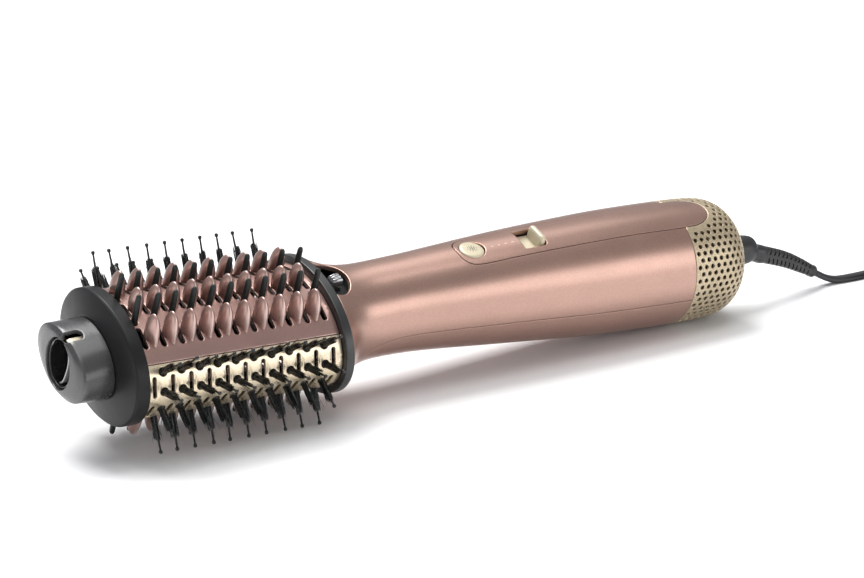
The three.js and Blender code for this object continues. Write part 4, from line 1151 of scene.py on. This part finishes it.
prof = fillet([[197.2, 24.1], [218.2, 24.1], [218.2, 25.95], [214.4, 26.0], [210.7, 25.9], [206.7, 25.7], [203.2, 25.35], [197.2, 24.9]],
              [.2, .2, .3, 1, 2, 2, 1, .3], 6, True)
rings_ = []
for y, shrink in [(-6.2, .5), (-6.12, .2), (-5.9, 0)] + [(v, 0) for v in np.linspace(-5.5, 5.5, 15)] + [(5.9, 0), (6.12, .2), (6.2, .5)]:
    P_ = prof.copy()
    cup = np.exp(-((P_[:, 0] - 209.7) / 4.0) ** 2) * (P_[:, 1] > 24.8) * 0.7 * (1 - (y / 6.2) ** 2)
    P_[:, 1] -= cup
    c_ = P_.mean(0)
    if shrink:
        d_ = c_ - P_
        P_ = P_ + d_ / np.linalg.norm(d_, axis=1)[:, None] * shrink
    rings_.append(np.stack([P_[:, 0], np.full(len(P_), y), P_[:, 1]], 1))
ridge = []
a_ = (np.arange(56) + 0.5) / 56 * 2 * math.pi
for z_, t_, l_ in ((25.3, 1.66, 6.1), (26.6, 1.64, 6.08), (28.4, 1.62, 6.04), (30.2, 1.60, 5.95), (31.2, 1.52, 5.75), (31.8, 1.36, 5.45), (32.2, 1.10, 5.0), (32.42, 0.75, 4.4), (32.5, 0.35, 3.7), (32.52, 0.04, 3.2)):
    ridge.append(np.stack([216.55 + t_ * np.cos(a_), (l_ - t_) * np.sign(np.sin(a_)) + t_ * np.sin(a_), np.full(56, z_)], 1))
piece("switch_slider", [loft(rings_), loft(ridge)], CREAM, "slide_switch", ("slide_switch",), angle=50)

# ------------------------------------------------------------------------ swivel
dome = fillet([[330.5, 0], [330.5, 10.2], [333, 10.2], [334.2, 7.35], [351.2, 7.3], [355.4, 6.2], [357.2, 2.6], [357.2, 0]], [0, .4, 1.0, 1.2, 3.0, 2.4, 1.2, 0], 7)
rings_ = [np.array([[x, 0, 1.0]]) if r_ < 1e-6 else oval_ring(x, r_, r_, 1.0, 72) for x, r_ in dome]
piece("swivel_head", [loft(rings_, cap=False)], BLACK, "swivel", ("swivel_dome",), angle=50)

REL = [[170.6, 25.75, 4.4, 4.3], [173.5, 24.85, 4.4, 4.35], [182.5, 22.0, 4.35, 4.3], [193.3, 18.0, 4.2, 4.1], [204.1, 12.6, 3.7, 3.5], [212.06, 8.2, 3.2, 2.75]]
rel = spline(REL, 121)


def relief_ring(i, k=1.0, seg=40, p=2.7):
    x, z, a, b = rel[i]
    j0, j1 = max(i - 1, 0), min(i + 1, len(rel) - 1)
    dx, dz = rel[j1, 0] - rel[j0, 0], rel[j1, 1] - rel[j0, 1]
    l_ = math.hypot(dx, dz)
    t = np.arange(seg) / seg * 2 * math.pi
    c, s = np.cos(t), np.sin(t)
    kk = (np.abs(c) ** p + np.abs(s) ** p) ** (-1 / p)
    c, s = c * kk, s * kk
    return np.stack([x - k * b * s * dz / l_, k * a * c, z + k * b * s * dx / l_], 1)


rings_ = [np.array([[rel[0, 0], 0, rel[0, 1]]]), relief_ring(0, 0.9)]
for i in range(1, len(rel) - 1, 2):
    s_ = i / (len(rel) - 1)
    k = 1.0
    if s_ > 0.95:
        k = 1.10 if 0.955 < s_ < 0.985 else 0.98
    if 0.10 < s_ < 0.16:
        k = 1.06
    rings_.append(relief_ring(i, k))
rings_ += [relief_ring(len(rel) - 1, 0.86), np.array([[rel[-1, 0], 0, rel[-1, 1]]])]
relief = piece("relief", [loft(rings_, cap=False)], RUBBER, "swivel", ("strain_relief",), "row")
cuts = []
for k in range(11):
    s_ = 0.235 + k * 0.063
    i = int(round(s_ * (len(rel) - 1)))
    x, z, a, b = rel[i]
    dx, dz = rel[i + 1, 0] - rel[i - 1, 0], rel[i + 1, 1] - rel[i - 1, 1]
    l_ = math.hypot(dx, dz)
    tx, tz = dx / l_, dz / l_
    for sy in (-1, 1):
        for up in (0.56, -0.52):
            cx, cz = x - up * b * tz, z + up * b * tx
            corners = []
            for qy in (0.45 * a, 1.5 * a):
                for (e1, e2) in ((-0.42, -0.36 * b), (0.42, -0.36 * b), (0.42, 0.36 * b), (-0.42, 0.36 * b)):
                    lean = e2 * 0.45 * (1 if up > 0 else -1)
                    q1 = e1 + lean
                    corners.append([cx + q1 * tx - e2 * tz, sy * qy, cz + q1 * tz + e2 * tx])
            f_ = [(0, 1, 2, 3), (4, 7, 6, 5), (0, 4, 5, 1), (1, 5, 6, 2), (2, 6, 7, 3), (3, 7, 4, 0)]
            cuts.append(outward(corners, f_))
cutter = piece("relief_cutter", cuts, RUBBER, None, (), "row", smooth=False)
mod = relief.modifiers.new("slots", "BOOLEAN")
mod.operation, mod.object, mod.solver = "DIFFERENCE", cutter, "EXACT"
bpy.context.view_layer.update()
dg = bpy.context.evaluated_depsgraph_get()
done = bpy.data.meshes.new_from_object(relief.evaluated_get(dg))
relief.modifiers.clear()
relief.data = done
done.polygons.foreach_set("use_smooth", [True] * len(done.polygons))
done.set_sharp_from_angle(angle=math.radians(38))
bpy.data.objects.remove(cutter)

# release latch: a ribbed catch, wider towards the rear
rings_ = []
for x, w, h_ in ((103.9, 0.60, 22.1), (104.1, 0.72, 22.9), (104.9, 0.84, 23.9), (106.4, 0.95, 24.45), (108.0, 1.0, 24.6), (109.3, 1.0, 24.3), (109.6, 0.96, 23.6)):
    line = [[-3.0, 20.7], [3.0, 20.7], [3.0, 22.0]]
    for k in range(25):
        y_ = 3.0 - 6.0 * k / 24
        ridge = abs(math.cos(y_ / 6.0 * math.pi * 3)) ** 0.8
        line.append([y_ * 0.96, 22.0 + (h_ - 22.0) * (0.62 + 0.38 * ridge) * (1 - 0.25 * (y_ / 3) ** 2)])
    line.append([-3.0, 22.0])
    line = np.array(line)
    rings_.append(np.stack([np.full(len(line), x), line[:, 0] * w, line[:, 1]], 1))
piece("latch", [loft(rings_)], GREY_GLOSS, "release_latch", ("release_latch",), angle=28)

# ------------------------------------------------------- carried-over CAD nodes
LOOK = {
    "release_latch": GREY_GLOSS, "latch_spring": STEEL, "mouth_plate": BLACK, "socket": BLACK, "coupler": BLACK, "air_core": CORE,
    "barrel_frame": BLACK, "mica_tube": MICA, "heater_frame": MICA, "heater_coil": COIL_WIRE, "thermal_cutout": STEEL, "fan_wheel": BLACK,
    "motor_shaft": STEEL, "motor_body": STEEL, "motor_mount": BLACK, "circuit_board": BOARD, "button_switch": BLACK, "switch_body": BLACK,
    "dust_filter": CORE, "cord_clamp": BLACK,
}
for name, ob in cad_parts.items():
    if ob.hide_render:
        continue
    mt = LOOK.get(name, BLACK)
    ob.data.materials.clear()
    ob.data.materials.append(mt)
    ob.data.polygons.foreach_set("use_smooth", [True] * len(ob.data.polygons))
    w = ob.modifiers.new("weld", "WELD")
    w.merge_threshold = 1e-6
    if name == "release_latch":
        bv = ob.modifiers.new("bevel", "BEVEL")
        bv.width, bv.segments, bv.limit_method = 0.0004, 3, "ANGLE"
    es = ob.modifiers.new("edges", "EDGE_SPLIT")
    es.split_angle = math.radians(32)

# ------------------------------------------------------------- floor and light
fm = bpy.data.materials.new("studio_floor")
fm.use_nodes = True
b_ = fm.node_tree.nodes["Principled BSDF"]
b_.inputs["Base Color"].default_value = (0.90, 0.90, 0.905, 1)
b_.inputs["Roughness"].default_value = 0.55
b_.inputs["Specular IOR Level"].default_value = 0.25
me = bpy.data.meshes.new("floor")
me.from_pydata([(-14, -14, 0), (14, -14, 0), (14, 14, 0), (-14, 14, 0)], [], [(0, 1, 2, 3)])
me.materials.append(fm)
floor = bpy.data.objects.new("floor", me)
scene.collection.objects.link(floor)

world = bpy.data.worlds.new("studio")
scene.world = world
world.use_nodes = True
bg = world.node_tree.nodes["Background"]
bg.inputs[0].default_value = (0.95, 0.97, 1.0, 1)
bg.inputs[1].default_value = 0.37


def area_light(name, at, target, size, power, size_y=None, colour=(1, 1, 1)):
    l = bpy.data.lights.new(name, "AREA")
    l.shape = "RECTANGLE"
    l.size, l.size_y = size, size_y or size
    l.energy = power
    l.color = colour
    o_ = bpy.data.objects.new(name, l)
    scene.collection.objects.link(o_)
    o_.location = at
    o_.rotation_mode = "QUATERNION"
    o_.rotation_quaternion = (Vector(target) - Vector(at)).to_track_quat("-Z", "Y")
    return o_


area_light("key_top", (-0.15, 1.15, 2.3), (0.03, 0, 0), 1.6, 78, 1.4)
area_light("top_box", (0.1, -0.2, 2.0), (0, -0.1, 0), 1.4, 16, 1.4)
area_light("back_strip", (0.62, 0.62, 1.2), (0.02, 0, 0.03), 0.8, 1.6, 0.45)
area_light("front_box", (0.92, -1.45, 0.42), (0.05, 0, 0.03), 1.5, 8.0, 0.70)
area_light("left_box", (-1.5, -0.35, 0.35), (-0.1, 0, 0.03), 1.3, 4.5, 0.8)
